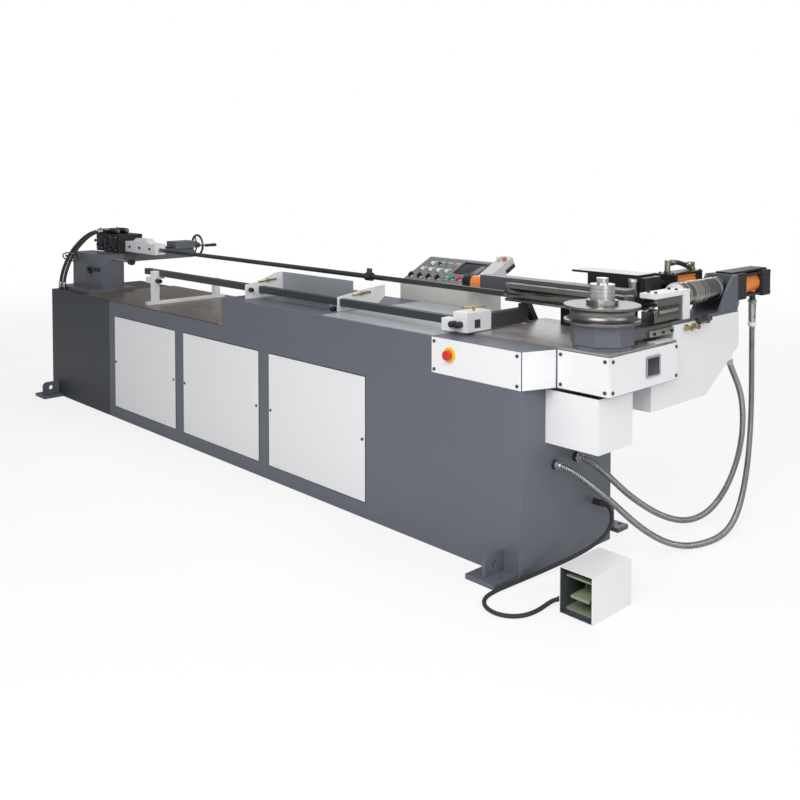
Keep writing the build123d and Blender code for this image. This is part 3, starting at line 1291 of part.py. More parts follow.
with BuildPart() as console_body:
    rib(console_profile, console_x)
    rib(console_profile, (console_x[0] + CONSOLE_WALL, console_x[1] - CONSOLE_WALL), Mode.SUBTRACT, CONSOLE_WALL)
    for inset, mode in ((0.0, Mode.ADD), (CONSOLE_WALL, Mode.SUBTRACT)):
        with BuildSketch(console_plane.offset(inset - CHEEK_BOX_DROP)):
            with Locations((cheek_left + inset, CHEEK_BOX_START + inset)):
                Rectangle(
                    CHEEK_BOX_LENGTH - 2 * inset, CHEEK_BOX_RUN - 2 * inset, align=(Align.MIN, Align.MIN)
                )
        extrude(amount=CHEEK_BOX_DROP + CHEEK_BOX_RISE - 2 * inset, mode=mode)
    with BuildSketch(console_plane):
        with Locations((FACE_MARGIN + FACE_LAP, FACE_MARGIN + FACE_LAP)):
            Rectangle(face_width - 2 * FACE_LAP, face_length - 2 * FACE_LAP, align=(Align.MIN, Align.MIN))
    extrude(amount=-2 * CONSOLE_WALL, mode=Mode.SUBTRACT)

# Console panel on the slope, with the holes for its buttons and switches
selector_places = [(SELECTOR_FIRST + step * SELECTOR_PITCH, SELECTOR_S) for step in range(SELECTOR_COUNT)]
button_places = [(START_X, BUTTON_S), (STOP_X, BUTTON_S)]
with BuildPart() as console_panel:
    with BuildSketch(console_plane):
        with Locations((FACE_MARGIN, FACE_MARGIN)):
            Rectangle(face_width, face_length, align=(Align.MIN, Align.MIN))
        with Locations(*button_places):
            Circle(BUTTON_STEM_R + SLIDE, mode=Mode.SUBTRACT)
        with Locations(*selector_places):
            Circle(BUTTON_STEM_R + RUN, mode=Mode.SUBTRACT)
    extrude(amount=FACE_THICK)

# Start button
with BuildPart() as start_button:
    with BuildSketch(console_plane.offset(FACE_THICK + BUTTON_TRAVEL + SLIDE)):
        with Locations(button_places[0]):
            Circle(BUTTON_R)
    extrude(amount=BUTTON_HEAD)
    with BuildSketch(console_plane.offset(FACE_THICK + BUTTON_TRAVEL + SLIDE)):
        with Locations(button_places[0]):
            Circle(BUTTON_STEM_R)
    extrude(amount=-BUTTON_STEM)

# Stop button
with BuildPart() as stop_button:
    with BuildSketch(console_plane.offset(FACE_THICK + BUTTON_TRAVEL + SLIDE)):
        with Locations(button_places[1]):
            Circle(BUTTON_R)
    extrude(amount=BUTTON_HEAD)
    with BuildSketch(console_plane.offset(FACE_THICK + BUTTON_TRAVEL + SLIDE)):
        with Locations(button_places[1]):
            Circle(BUTTON_STEM_R)
    extrude(amount=-BUTTON_STEM)

# Selector switches: a round head with a raised grip
selectors = []
for place in selector_places:
    with BuildPart() as selector:
        with BuildSketch(console_plane.offset(FACE_THICK + SLIDE)):
            with Locations(place):
                Circle(BUTTON_R)
        extrude(amount=SELECTOR_HEAD)
        with BuildSketch(console_plane.offset(FACE_THICK + SLIDE + SELECTOR_HEAD)):
            with Locations(place):
                Rectangle(SELECTOR_GRIP_WIDTH, 2 * BUTTON_R - SELECTOR_GRIP_WIDTH / 2)
        extrude(amount=SELECTOR_GRIP)
        with BuildSketch(console_plane.offset(FACE_THICK + SLIDE)):
            with Locations(place):
                Circle(BUTTON_STEM_R)
        extrude(amount=-BUTTON_STEM)
    selectors.append(selector)

# Emergency stop: fixed ring and pressed mushroom
ring_front = FRONT - SKIRT_THICK - ESTOP_RING_THICK
with BuildPart() as estop_ring:
    rod_y(estop_x, (ring_front, FRONT - SKIRT_THICK), ESTOP_Z, ESTOP_RING_R)
    rod_y(estop_x, (ring_front, FRONT - SKIRT_THICK), ESTOP_Z, ESTOP_STEM_R + SLIDE, Mode.SUBTRACT)
head_back = ring_front - ESTOP_TRAVEL - SLIDE
with BuildPart() as estop_button:
    rod_y(estop_x, (head_back - ESTOP_HEAD, head_back), ESTOP_Z, ESTOP_R)
    rod_y(estop_x, (head_back, FRONT + DECK_WALL), ESTOP_Z, ESTOP_STEM_R)

# Oil tank on the floor of the bed, open at the top
tank_x = (END - TANK_SETBACK - TANK_LENGTH, END - TANK_SETBACK)
tank_top = BED_WALL + TANK_HEIGHT
with BuildPart() as oil_tank:
    block(tank_x, (-TANK_DEPTH / 2, TANK_DEPTH / 2), (BED_WALL, tank_top))
    block(
        (tank_x[0] + TANK_WALL, tank_x[1] - TANK_WALL),
        (TANK_WALL - TANK_DEPTH / 2, TANK_DEPTH / 2 - TANK_WALL),
        (BED_WALL + TANK_WALL, tank_top),
        Mode.SUBTRACT,
    )

# Motor and pump on the tank's lid
motor_left = tank_x[0] + BED_WALL
lid_top = tank_top + TANK_LID
motor_z = lid_top + MOTOR_R
with BuildPart() as pump_unit:
    block(tank_x, (-TANK_DEPTH / 2, TANK_DEPTH / 2), (tank_top, lid_top))
    rod_x((motor_left, motor_left + MOTOR_LENGTH), 0, motor_z, MOTOR_R)
    rod_x((motor_left + MOTOR_LENGTH, motor_left + MOTOR_LENGTH + PUMP_LENGTH), 0, motor_z, PUMP_R)
    block(
        (motor_left + MOTOR_LENGTH / 4, motor_left + 3 * MOTOR_LENGTH / 4),
        (-MOTOR_R, MOTOR_R),
        (lid_top, motor_z),
    )

# Foot switch guard: a box open towards the operator
switch_x = (END + SWITCH_X - SWITCH_WIDTH / 2, END + SWITCH_X + SWITCH_WIDTH / 2)
switch_y = (FRONT - SWITCH_FRONT, FRONT - SWITCH_FRONT + SWITCH_DEPTH)
with BuildPart() as foot_switch_guard:
    block(switch_x, switch_y, (0, SWITCH_HEIGHT))
    block(
        (switch_x[0] + SWITCH_WALL, switch_x[1] - SWITCH_WALL),
        (switch_y[0], switch_y[1] - SWITCH_WALL),
        (SWITCH_WALL, SWITCH_HEIGHT - SWITCH_WALL),
        Mode.SUBTRACT,
    )

# Foot switch body: sole, back and two cheeks that hold the pedal's pin
sole_x = (switch_x[0] + SWITCH_WALL + SEAT, switch_x[1] - SWITCH_WALL - SEAT)
sole_back = switch_y[1] - SWITCH_WALL - SEAT
pedal_mid = END + SWITCH_X
pedal_x = (pedal_mid - PEDAL_WIDTH / 2, pedal_mid + PEDAL_WIDTH / 2)
pivot_y = FRONT + PEDAL_Y
with BuildPart() as foot_switch_body:
    block(sole_x, (switch_y[0] + SWITCH_BACK_DEPTH, sole_back), (SWITCH_WALL, SWITCH_WALL + SWITCH_SOLE))
    block(sole_x, (sole_back - SWITCH_BACK_DEPTH, sole_back), (SWITCH_WALL, SWITCH_HEIGHT - SWITCH_WALL - SEAT))
    for left in (pedal_x[0] - SLIDE - SWITCH_CHEEK, pedal_x[1] + SLIDE):
        block(
            (left, left + SWITCH_CHEEK),
            (sole_back - SWITCH_BACK_DEPTH - SWITCH_CHEEK_DEPTH, sole_back - SWITCH_BACK_DEPTH),
            (SWITCH_WALL, SWITCH_CHEEK_TOP),
        )
    rod_x((pedal_x[0] - SWITCH_CHEEK, pedal_x[1] + SWITCH_CHEEK), pivot_y, PEDAL_Z, PEDAL_PIN_R)

# Foot pedal on its pin
with BuildPart() as foot_pedal:
    block(
        pedal_x,
        (pivot_y - PEDAL_LENGTH, pivot_y),
        (PEDAL_Z - PEDAL_THICK / 2, PEDAL_Z + PEDAL_THICK / 2),
    )
    rod_x(pedal_x, pivot_y, PEDAL_Z, PEDAL_BARREL_R)
    rod_x(pedal_x, pivot_y, PEDAL_Z, PEDAL_PIN_R + RUN, Mode.SUBTRACT)

# Routes of the conduits, the cable and the hoses, from the bed's end and front face
clamp_conduit_points = from_bed_end([
    (12, 215, 415),
    (46, 215, 415),
    (79, 221, 406),
    (110, 238, 386),
    (138, 272, 352),
    (162, 325, 304),
    (182, 392, 244),
    (204, 470, 172),
    (230, 556, 104),
    (262, 646, 50),
    (296, 742, 21),
    (322, 842, 15),
    (334, 946, 17),
    (328, 1052, 31),
    (309, 1158, 68),
    (284, 1255, 126),
    (259, 1340, 205),
    (238, 1405, 302),
    (222, 1450, 416),
    (210, 1477, 541),
    (203, 1489, 660),
    (200.5, 1491.8, 775),
    (200, 1492, 885),
    (200, 1492, 981.7),
])
arm_conduit_points = from_bed_end([
    (12, 357, 418),
    (45, 357, 418),
    (76, 364, 408),
    (101, 383, 386),
    (118, 418, 353),
    (129, 470, 306),
    (136, 540, 250),
    (142, 630, 189),
    (148, 730, 129),
    (154, 835, 78),
    (161, 940, 42),
    (168, 1045, 27),
    (177, 1142, 38),
    (188, 1228, 82),
    (199, 1298, 152),
    (210, 1345, 243),
    (220, 1366, 345),
    (228, 1358, 445),
    (233, 1333, 535),
    (235, 1294, 604),
    (235, 1252, 660),
    (235, 1217.6, 704.4),
    (235, 1191.4, 747),
])
cable_points = from_bed_end([
    (36, 494, 198),
    (66, 494, 198),
    (93, 487, 177),
    (104, 470, 138),
    (99, 436, 98),
    (84, 380, 68),
    (66, 304, 46),
    (48, 214, 32),
    (30, 120, 21),
    (14, 26, 13),
    (3, -66, 9),
    (-1, -150, 9),
    (10, -222, 9),
    (50, -270, 9),
    (110, -288, 9),
    (164, -270, 9),
    (198, -228, 9),
    (208, -176, 9),
    (207, -128, 10),
    (207, -92, 15),
    (216, -68, 23),
    (234, -56, 29),
    (258.7, -56, 29),
])
first_tail_hose_points = from_bed_end([
    (-4190, 329.7, 1142),
    (-4190, 297, 1142),
    (-4191, 260, 1131),
    (-4192, 218, 1106),
    (-4194, 178, 1072),
    (-4196, 142, 1034),
    (-4198, 112, 993),
    (-4199, 88, 950),
    (-4200, 66, 900),
    (-4200, 50, 850),
    (-4200, 40, 800),
    (-4200, 40, 765.3),
])
second_tail_hose_points = from_bed_end([
    (-4145, 329.7, 1142),
    (-4145, 297, 1142),
    (-4145.5, 260, 1130.5),
    (-4146.5, 219, 1105),
    (-4148, 180, 1071),
    (-4149.5, 145, 1033),
    (-4151, 116, 992),
    (-4152, 92, 949),
    (-4152, 70, 899),
    (-4152, 54, 849),
    (-4152, 44, 799),
    (-4152, 44, 765.3),
])
pressure_hose_points = from_bed_end([
    (32, 1037.8, 1176),
    (32, 1064, 1176),
    (32, 1100, 1172.5),
    (32, 1134, 1164.5),
    (32, 1168, 1156),
    (32, 1194.7, 1156),
])

# Glands where the conduits, the cable and the tail hoses leave the bed
with BuildPart() as cord_glands:
    for point in (clamp_conduit_points[0], arm_conduit_points[0]):
        rod_x((END, END + GLAND_LENGTH), point[1], point[2], GLAND_R)
    rod_x((END, END + CABLE_GLAND_LENGTH), cable_points[0][1], cable_points[0][2], CABLE_GLAND_R)
    for point in (first_tail_hose_points[-1], second_tail_hose_points[-1]):
        rod_z(point[0], point[1], (BED_HEIGHT, BED_HEIGHT + PORT_LENGTH), HOSE_PORT_R)

# Ribbed conduit to the clamp ram
clamp_route = route(clamp_conduit_points)
with BuildPart() as conduit_to_clamp:
    add(conduit(clamp_route, CLAMP_CONDUIT_RIBS, LEAN))

# Ribbed conduit to the arm
arm_route = route(arm_conduit_points)
with BuildPart() as conduit_to_arm:
    add(conduit(arm_route, ARM_CONDUIT_RIBS, LEAN))

# Cable to the foot switch
cable_route = route(cable_points)
with BuildPart() as foot_cable:
    with BuildSketch(square_to(cable_route, 0.0, LEAN)):
        Circle(CABLE_D / 2)
    sweep(path=cable_route)

# Hoses of the mandrel carriage
first_tail_route = route(first_tail_hose_points)
second_tail_route = route(second_tail_hose_points)
with BuildPart() as tail_hoses:
    with BuildSketch(square_to(first_tail_route, 0.0, LEAN)):
        Circle(HOSE_D / 2)
    sweep(path=first_tail_route)
    with BuildSketch(square_to(second_tail_route, 0.0, LEAN)):
        Circle(HOSE_D / 2)
    sweep(path=second_tail_route)

# Hose over the pressure ram
pressure_route = route(pressure_hose_points)
with BuildPart() as pressure_hoses:
    with BuildSketch(square_to(pressure_route, 0.0, LEAN)):
        Circle(HOSE_D / 2)
    sweep(path=pressure_route)

mean_bore = pi * (((CONDUIT_D + CONDUIT_ROOT_D) / 2) ** 2 - CONDUIT_BORE_D**2) / 4
hose_section = pi * HOSE_D**2 / 4
describe_cord("conduit_to_clamp", clamp_conduit_points, clamp_route, conduit_to_clamp.part, mean_bore)
describe_cord("conduit_to_arm", arm_conduit_points, arm_route, conduit_to_arm.part, mean_bore)
describe_cord("foot_cable", cable_points, cable_route, foot_cable.part, pi * CABLE_D**2 / 4)
describe_cord("pressure_hoses", pressure_hose_points, pressure_route, pressure_hoses.part, hose_section)
both_tail_lengths = first_tail_route.length + second_tail_route.length
print(f"tail_hoses: volume ratio {tail_hoses.part.volume / (hose_section * both_tail_lengths):.3f}")

pieces = {
    "bed_cabinet": bed_cabinet,
    "tail_cabinet": tail_cabinet,
    "deck_frame": deck_frame,
    "top_plates": top_plates,
    "anchor_feet": anchor_feet,
    "access_panels": access_panels,
    "panel_screws": panel_screws,
    "skirt_panels": skirt_panels,
    "spindle_guard_box": spindle_guard_box,
    "spindle_housing": spindle_housing,
    "spindle_bearings": spindle_bearings,
    "main_spindle": main_spindle,
    "bend_die": bend_die,
    "drive_sprocket": drive_sprocket,
    "idler_sprocket": idler_sprocket,
    "bend_chain": bend_chain,
    "chain_yoke": chain_yoke,
    "bend_cylinder": bend_cylinder,
    "swing_arm": swing_arm,
    "arm_housing": arm_housing,
    "clamp_cylinder": clamp_cylinder,
    "clamp_slide": clamp_slide,
    "clamp_die": clamp_die,
    "pressure_base": pressure_base,
    "pressure_cylinder": pressure_cylinder,
    "pressure_slide": pressure_slide,
    "pressure_top_plate": pressure_top_plate,
    "boost_cylinder": boost_cylinder,
    "pressure_die": pressure_die,
    "tail_bracket": tail_bracket,
    "cross_beam": cross_beam,
    "mandrel_carriage": mandrel_carriage,
    "mandrel_clevis": mandrel_clevis,
    "mandrel_rod": mandrel_rod,
    "handwheel": handwheel,
    "gauge_bar": gauge_bar,
    "gauge_support": gauge_support,
    "stock_tray": stock_tray,
    "gauge_carriage": gauge_carriage,
    "console_body": console_body,
    "console_panel": console_panel,
    "start_button": start_button,
    "stop_button": stop_button,
    "estop_ring": estop_ring,
    "estop_button": estop_button,
    "oil_tank": oil_tank,
    "pump_unit": pump_unit,
    "foot_switch_guard": foot_switch_guard,
    "foot_switch_body": foot_switch_body,
    "foot_pedal": foot_pedal,
    "cord_glands": cord_glands,
    "conduit_to_clamp": conduit_to_clamp,
    "conduit_to_arm": conduit_to_arm,
    "foot_cable": foot_cable,
    "tail_hoses": tail_hoses,
    "pressure_hoses": pressure_hoses,
}
for number, selector in enumerate(selectors, start=1):
    pieces[f"selector_{number}"] = selector
for name, piece in pieces.items():
    piece.part.label = name
    export_step(piece.part, f"parts/{name}.step")
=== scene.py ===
import logging
from dataclasses import dataclass
from enum import Enum
from math import cos, pi, radians, sin
from typing import Any, ClassVar, Optional, Sequence, Union

import bmesh
import bpy
from mathutils import Matrix, Vector


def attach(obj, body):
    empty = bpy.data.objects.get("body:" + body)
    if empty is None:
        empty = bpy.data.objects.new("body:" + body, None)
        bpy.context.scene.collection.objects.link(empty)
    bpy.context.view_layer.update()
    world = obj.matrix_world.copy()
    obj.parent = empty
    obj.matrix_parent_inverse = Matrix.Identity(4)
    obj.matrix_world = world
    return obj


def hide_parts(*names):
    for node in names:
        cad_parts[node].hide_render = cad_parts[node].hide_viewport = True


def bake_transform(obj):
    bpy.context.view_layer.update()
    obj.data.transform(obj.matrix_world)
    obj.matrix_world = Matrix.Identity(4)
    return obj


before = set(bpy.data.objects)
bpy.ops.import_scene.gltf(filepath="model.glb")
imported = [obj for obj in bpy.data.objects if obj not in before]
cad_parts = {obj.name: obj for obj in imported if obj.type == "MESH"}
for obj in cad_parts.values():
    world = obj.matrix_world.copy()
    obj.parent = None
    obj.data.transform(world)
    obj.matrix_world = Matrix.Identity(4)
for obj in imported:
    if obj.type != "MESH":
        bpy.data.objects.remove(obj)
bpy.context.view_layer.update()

log = logging.getLogger("tube_bender")

Pair = tuple[float, float]
Point = tuple[float, float, float]
Colour = tuple[float, float, float]
Profile = tuple[Pair, ...]

BED_END = 2.130
BED_FRONT = -0.350
BEND_AXIS: Pair = (2.310, -0.075)
UP: Point = (0.0, 0.0, 1.0)
DOWN: Point = (0.0, 0.0, -1.0)
FRONTWARD: Point = (0.0, -1.0, 0.0)
BACKWARD: Point = (0.0, 1.0, 0.0)
RIGHTWARD: Point = (1.0, 0.0, 0.0)
LEFTWARD: Point = (-1.0, 0.0, 0.0)

BLACK: Colour = (0.016, 0.016, 0.018)
ORANGE: Colour = (0.88, 0.270, 0.058)
WHITE: Colour = (0.80, 0.80, 0.81)
DARK: Colour = (0.055, 0.058, 0.066)
SILVER: Colour = (0.62, 0.62, 0.63)
ARM_SLATE: Colour = (0.110, 0.116, 0.142)
LIGHT_GREY: Colour = (0.30, 0.32, 0.345)
PURE_WHITE: Colour = (1.0, 1.0, 1.0)
PURE_BLACK: Colour = (0.0, 0.0, 0.0)


class Axis(Enum):
    """One of the three axes of the shared frame."""

    X = 0
    Y = 1
    Z = 2


class Value:
    """A shader socket that takes part in Python arithmetic.

    Args:
        graph: The node graph that the socket belongs to.
        socket: The output socket.
    """

    def __init__(self, graph: "Graph", socket: bpy.types.NodeSocket) -> None:
        """Keeps the graph and the socket."""
        self.graph = graph
        self.socket = socket

    def __add__(self, other: "Number") -> "Value":
        """Adds a value."""
        return self.graph.math("ADD", self, other)

    def __radd__(self, other: "Number") -> "Value":
        """Is added to a value."""
        return self.graph.math("ADD", other, self)

    def __sub__(self, other: "Number") -> "Value":
        """Takes a value away."""
        return self.graph.math("SUBTRACT", self, other)

    def __rsub__(self, other: "Number") -> "Value":
        """Is taken away from a value."""
        return self.graph.math("SUBTRACT", other, self)

    def __mul__(self, other: "Number") -> "Value":
        """Multiplies by a value."""
        return self.graph.math("MULTIPLY", self, other)

    def __rmul__(self, other: "Number") -> "Value":
        """Multiplies a value."""
        return self.graph.math("MULTIPLY", other, self)

    def __gt__(self, other: "Number") -> "Value":
        """Is 1 where it is over a value, and 0 elsewhere."""
        return self.graph.math("GREATER_THAN", self, other)

    def __lt__(self, other: "Number") -> "Value":
        """Is 1 where it is under a value, and 0 elsewhere."""
        return self.graph.math("LESS_THAN", self, other)


Number = Union[float, Value]
Tone = Union[Colour, Value]


class Graph:
    """The node graph of a material or of the world.

    Args:
        owner: The material or the world.
        shader: The name of the shader node that it comes with.
    """

    def __init__(
        self, owner: Union[bpy.types.Material, bpy.types.World], shader: str = "Principled BSDF",
    ) -> None:
        """Keeps the owner, its node tree and its shader node."""
        owner.use_nodes = True
        self.owner = owner
        self.tree = owner.node_tree
        self.shader = self.tree.nodes[shader]

    def node(
        self, kind: str, settings: Optional[dict[str, Any]] = None, output: Union[int, str] = 0, **inputs: Any,
    ) -> Value:
        """Adds a node and gives one of its outputs.

        Args:
            kind: The node's type.
            settings: Its own settings, set before its sockets; stops are those of a colour ramp.
            output: The output's number or name.
            inputs: Values or links by socket name, with _ for a space and in_ before a socket's number.

        Returns:
            The output.
        """
        made = self.tree.nodes.new(kind)
        for key, value in (settings or {}).items():
            if key != "stops":
                setattr(made, key, value)
                continue
            for element, (place, colour) in zip(made.color_ramp.elements, value):
                element.position = place
                element.color = (*colour, 1.0)
        for key, value in inputs.items():
            self.feed(made.inputs[int(key[3:]) if key.startswith("in_") else key.replace("_", " ")], value)
        return Value(self, made.outputs[output])

    def feed(self, socket: bpy.types.NodeSocket, value: Any) -> None:
        """Sets a socket's value, or links it.

        Args:
            socket: The input socket.
            value: A number, a colour, a vector or a Value.
        """
        if isinstance(value, Value):
            self.tree.links.new(value.socket, socket)
        elif isinstance(value, tuple) and socket.type == "RGBA":
            socket.default_value = (*value, 1.0)
        else:
            socket.default_value = value

    def math(self, operation: str, first: Number, second: Number) -> Value:
        """Gives the result of a Math node on two values."""
        return self.node("ShaderNodeMath", {"operation": operation}, in_0=first, in_1=second)

    def limited(self, value: Value, top: float) -> Value:
        """Gives a value kept between 0 and a top."""
        return self.math("MAXIMUM", self.math("MINIMUM", value, top), 0.0)

    def place(self) -> Value:
        """Gives the place on the piece, in its own frame."""
        return self.node("ShaderNodeTexCoord", output="Object")

    def along(self, axis: Axis) -> Value:
        """Gives one coordinate of the place on the piece."""
        return self.node("ShaderNodeSeparateXYZ", output=axis.value, Vector=self.place())

    def stretched(self, scale: Point) -> Value:
        """Gives the place scaled along each axis."""
        return self.node("ShaderNodeMapping", Vector=self.place(), Scale=scale)

    def noise(self, scale: float, detail: float, where: Optional[Value] = None) -> Value:
        """Gives a cloudy value from 0 to 1.

        Args:
            scale: Its lumps to a metre.
            detail: How many finer layers it has.
            where: The place that it is read at, if that isn't the place on the piece.

        Returns:
            The value.
        """
        spot = self.place() if where is None else where
        return self.node("ShaderNodeTexNoise", Vector=spot, Scale=scale, Detail=detail, Roughness=0.55)

    def tones(self, value: Value, colour: Colour, shades: Pair, ends: Pair = (0.3, 0.7)) -> Value:
        """Gives a colour that goes from a darker to a lighter shade.

        Args:
            value: What it changes with.
            colour: The colour between the two.
            shades: The factors of the darker and the lighter shade.
            ends: The values at which it is darkest and lightest.

        Returns:
            The colour.
        """
        stops = tuple((end, shade(colour, factor)) for end, factor in zip(ends, shades))
        return self.node("ShaderNodeValToRGB", {"stops": stops}, Fac=value)

    def mix(self, factor: Number, first: Tone, second: Tone) -> Value:
        """Gives a colour between two colours."""
        return self.node("ShaderNodeMix", {"data_type": "RGBA"}, 2, in_0=factor, in_6=first, in_7=second)

    def mix_shaders(self, factor: Value, first: Value, second: Value) -> Value:
        """Gives a shader between two shaders."""
        return self.node("ShaderNodeMixShader", in_0=factor, in_1=first, in_2=second)

    def bump(self, height: Value, strength: float, distance: float) -> Value:
        """Gives the normal of a surface raised by a height."""
        return self.node("ShaderNodeBump", Strength=strength, Distance=distance, Height=height)

    def camera_ray(self) -> Value:
        """Is 1 for what the camera sees directly, and 0 elsewhere."""
        return self.node("ShaderNodeLightPath", output="Is Camera Ray")

    def own_shader(self) -> Value:
        """Gives the output of the graph's own shader."""
        return Value(self, self.shader.outputs[0])

    def show(self, surface: Value) -> None:
        """Makes a shader the graph's result."""
        output = next(node for node in self.tree.nodes if node.type.startswith("OUTPUT"))
        self.feed(output.inputs["Surface"], surface)

    def dress(self, **sockets: Any) -> Union[bpy.types.Material, bpy.types.World]:
        """Feeds the graph's own shader.

        Args:
            sockets: Values or links by socket name, with _ for a space.

        Returns:
            The graph's owner.
        """
        for key, value in sockets.items():
            self.feed(self.shader.inputs[key.replace("_", " ")], value)
        return self.owner


def shade(colour: Colour, factor: float) -> Colour:
    """Gives a colour made lighter or darker by a factor."""
    red, green, blue = (min(1.0, channel * factor) for channel in colour)
    return (red, green, blue)


@dataclass(frozen=True)
class Finish:
    """A surface finish that makes its own material, once."""

    name: str

    def material(self) -> bpy.types.Material:
        """Gives the finish's material, made when it is first asked for."""
        found = bpy.data.materials.get(self.name)
        return found if found else self.make(Graph(bpy.data.materials.new(self.name)))

    def make(self, graph: Graph) -> bpy.types.Material:
        """Builds the finish in a new graph and gives its material."""
        raise NotImplementedError


@dataclass(frozen=True)
class Paint(Finish):
    """Sprayed machine paint with a fine orange peel and faint cloudy handling marks."""

    colour: Colour
    roughness: float = 0.42
    mottle: float = 0.05
    peel: float = 0.06
    coat: float = 0.0
    cloud_scale: float = 2.2
    speck_scale: float = 60.0
    peel_scale: float = 420.0
    peel_depth: float = 0.0006
    cloud_share: float = 0.7
    gloss_swing: float = 0.08
    coat_roughness: float = 0.12

    def make(self, graph: Graph) -> bpy.types.Material:
        """Builds the paint.

        Args:
            graph: The new material's node graph.

        Returns:
            The material.
        """
        cloud = graph.noise(self.cloud_scale, 4.0)
        marks = cloud * self.cloud_share + graph.noise(self.speck_scale, 2.0) * (1 - self.cloud_share)
        return graph.dress(
            Base_Color=graph.tones(marks, self.colour, (1 - self.mottle, 1 + self.mottle), (0.25, 0.75)),
            Roughness=self.roughness - self.gloss_swing / 2 + cloud * self.gloss_swing,
            Normal=graph.bump(graph.noise(self.peel_scale, 2.0), self.peel, self.peel_depth),
            Coat_Weight=self.coat,
            Coat_Roughness=self.coat_roughness,
        )


@dataclass(frozen=True)
class Steel(Finish):
    """Machined metal with a fine lay of tool marks and a film of oil in patches."""

    colour: Colour
    roughness: float = 0.34
    lay: Point = (6.0, 260.0, 260.0)
    oil: float = 0.35
    oil_colour: Colour = (0.10, 0.085, 0.065)
    patch_scale: float = 9.0
    patch_level: float = 0.48
    patch_edge: float = 3.0
    patch_most: float = 0.75
    patch_gloss: float = 0.10
    gloss_swing: float = 0.16
    mark_bump: float = 0.10
    mark_depth: float = 0.0004

    def make(self, graph: Graph) -> bpy.types.Material:
        """Builds the metal.

        Args:
            graph: The new material's node graph.

        Returns:
            The material.
        """
        marks = graph.noise(1.0, 4.0, graph.stretched(self.lay))
        film = (graph.noise(self.patch_scale, 5.0) - self.patch_level) * self.patch_edge * self.oil
        mask = graph.limited(film, self.patch_most)
        gloss = self.roughness - self.gloss_swing / 2 + marks * self.gloss_swing
        return graph.dress(
            Base_Color=graph.mix(mask, graph.tones(marks, self.colour, (0.82, 1.12)), self.oil_colour),
            Metallic=1.0,
            Roughness=gloss - mask * self.patch_gloss,
            Normal=graph.bump(marks, self.mark_bump, self.mark_depth),
        )


@dataclass(frozen=True)
class Turned(Finish):
    """Metal turned on a lathe, with rings of tool marks about an upright axis."""

    colour: Colour
    centre: Pair
    roughness: float = 0.28
    rings: float = 900.0
    stain_scale: float = 14.0
    stain_share: float = 0.35
    stain_shade: float = 0.55
    gloss_drop: float = 0.06
    mark_gloss: float = 0.16
    stain_gloss: float = 0.08
    mark_bump: float = 0.08
    mark_depth: float = 0.0003

    def make(self, graph: Graph) -> bpy.types.Material:
        """Builds the turned metal.

        Args:
            graph: The new material's node graph.

        Returns:
            The material.
        """
        reach = graph.along(Axis.X) - self.centre[0]
        depth = graph.along(Axis.Y) - self.centre[1]
        radius = graph.math("SQRT", reach * reach + depth * depth, 0.0)
        line = graph.node(
            "ShaderNodeCombineXYZ", X=radius * self.rings, Y=graph.along(Axis.Z) * self.rings,
        )
        marks = graph.noise(1.0, 3.0, line)
        stain = graph.noise(self.stain_scale, 4.0)
        tone = graph.tones(marks, self.colour, (0.78, 1.12))
        return graph.dress(
            Base_Color=graph.mix(stain * self.stain_share, tone, shade(self.colour, self.stain_shade)),
            Metallic=1.0,
            Roughness=self.roughness - self.gloss_drop + marks * self.mark_gloss + stain * self.stain_gloss,
            Normal=graph.bump(marks, self.mark_bump, self.mark_depth),
        )


@dataclass(frozen=True)
class Band:
    """A stretch of a piece that has its own colour and gloss."""

    colour: Colour
    low: float
    high: float
    axis: Axis = Axis.Y
    roughness: float = 0.35
    metallic: float = 0.0
    floor: float = -9.0
    ceiling: float = 9.0
    sides: Optional[Pair] = None


@dataclass(frozen=True)
class Banded(Finish):
    """Paint or metal whose colour changes from one stretch of the piece to the next."""

    colour: Colour
    bands: tuple[Band, ...]
    roughness: float = 0.42
    metallic: float = 0.0
    cloud_scale: float = 3.0
    grain_scale: float = 380.0
    wear: float = 0.22
    gloss_drop: float = 0.03
    gloss_swing: float = 0.07
    grain_bump: float = 0.06
    grain_depth: float = 0.0006

    def make(self, graph: Graph) -> bpy.types.Material:
        """Builds the banded finish.

        Args:
            graph: The new material's node graph.

        Returns:
            The material.
        """
        cloud = graph.noise(self.cloud_scale, 4.0)
        tone: Tone = self.colour
        gloss: Number = self.roughness
        metal: Number = self.metallic
        height = graph.along(Axis.Z)
        for band in self.bands:
            place = graph.along(band.axis)
            inside = (place > band.low) * (place < band.high) * (height > band.floor) * (height < band.ceiling)
            if band.sides:
                across = graph.along(Axis.X)
                inside = inside * (across > band.sides[0]) * (across < band.sides[1])
            tone = graph.mix(inside, tone, band.colour)
            gloss = inside * band.roughness + (1.0 - inside) * gloss
            metal = inside * band.metallic + (1.0 - inside) * metal
        return graph.dress(
            Base_Color=graph.mix(cloud * self.wear, tone, graph.mix(0.5, tone, PURE_BLACK)),
            Roughness=gloss - self.gloss_drop + cloud * self.gloss_swing,
            Metallic=metal,
            Normal=graph.bump(graph.noise(self.grain_scale, 2.0), self.grain_bump, self.grain_depth),
        )


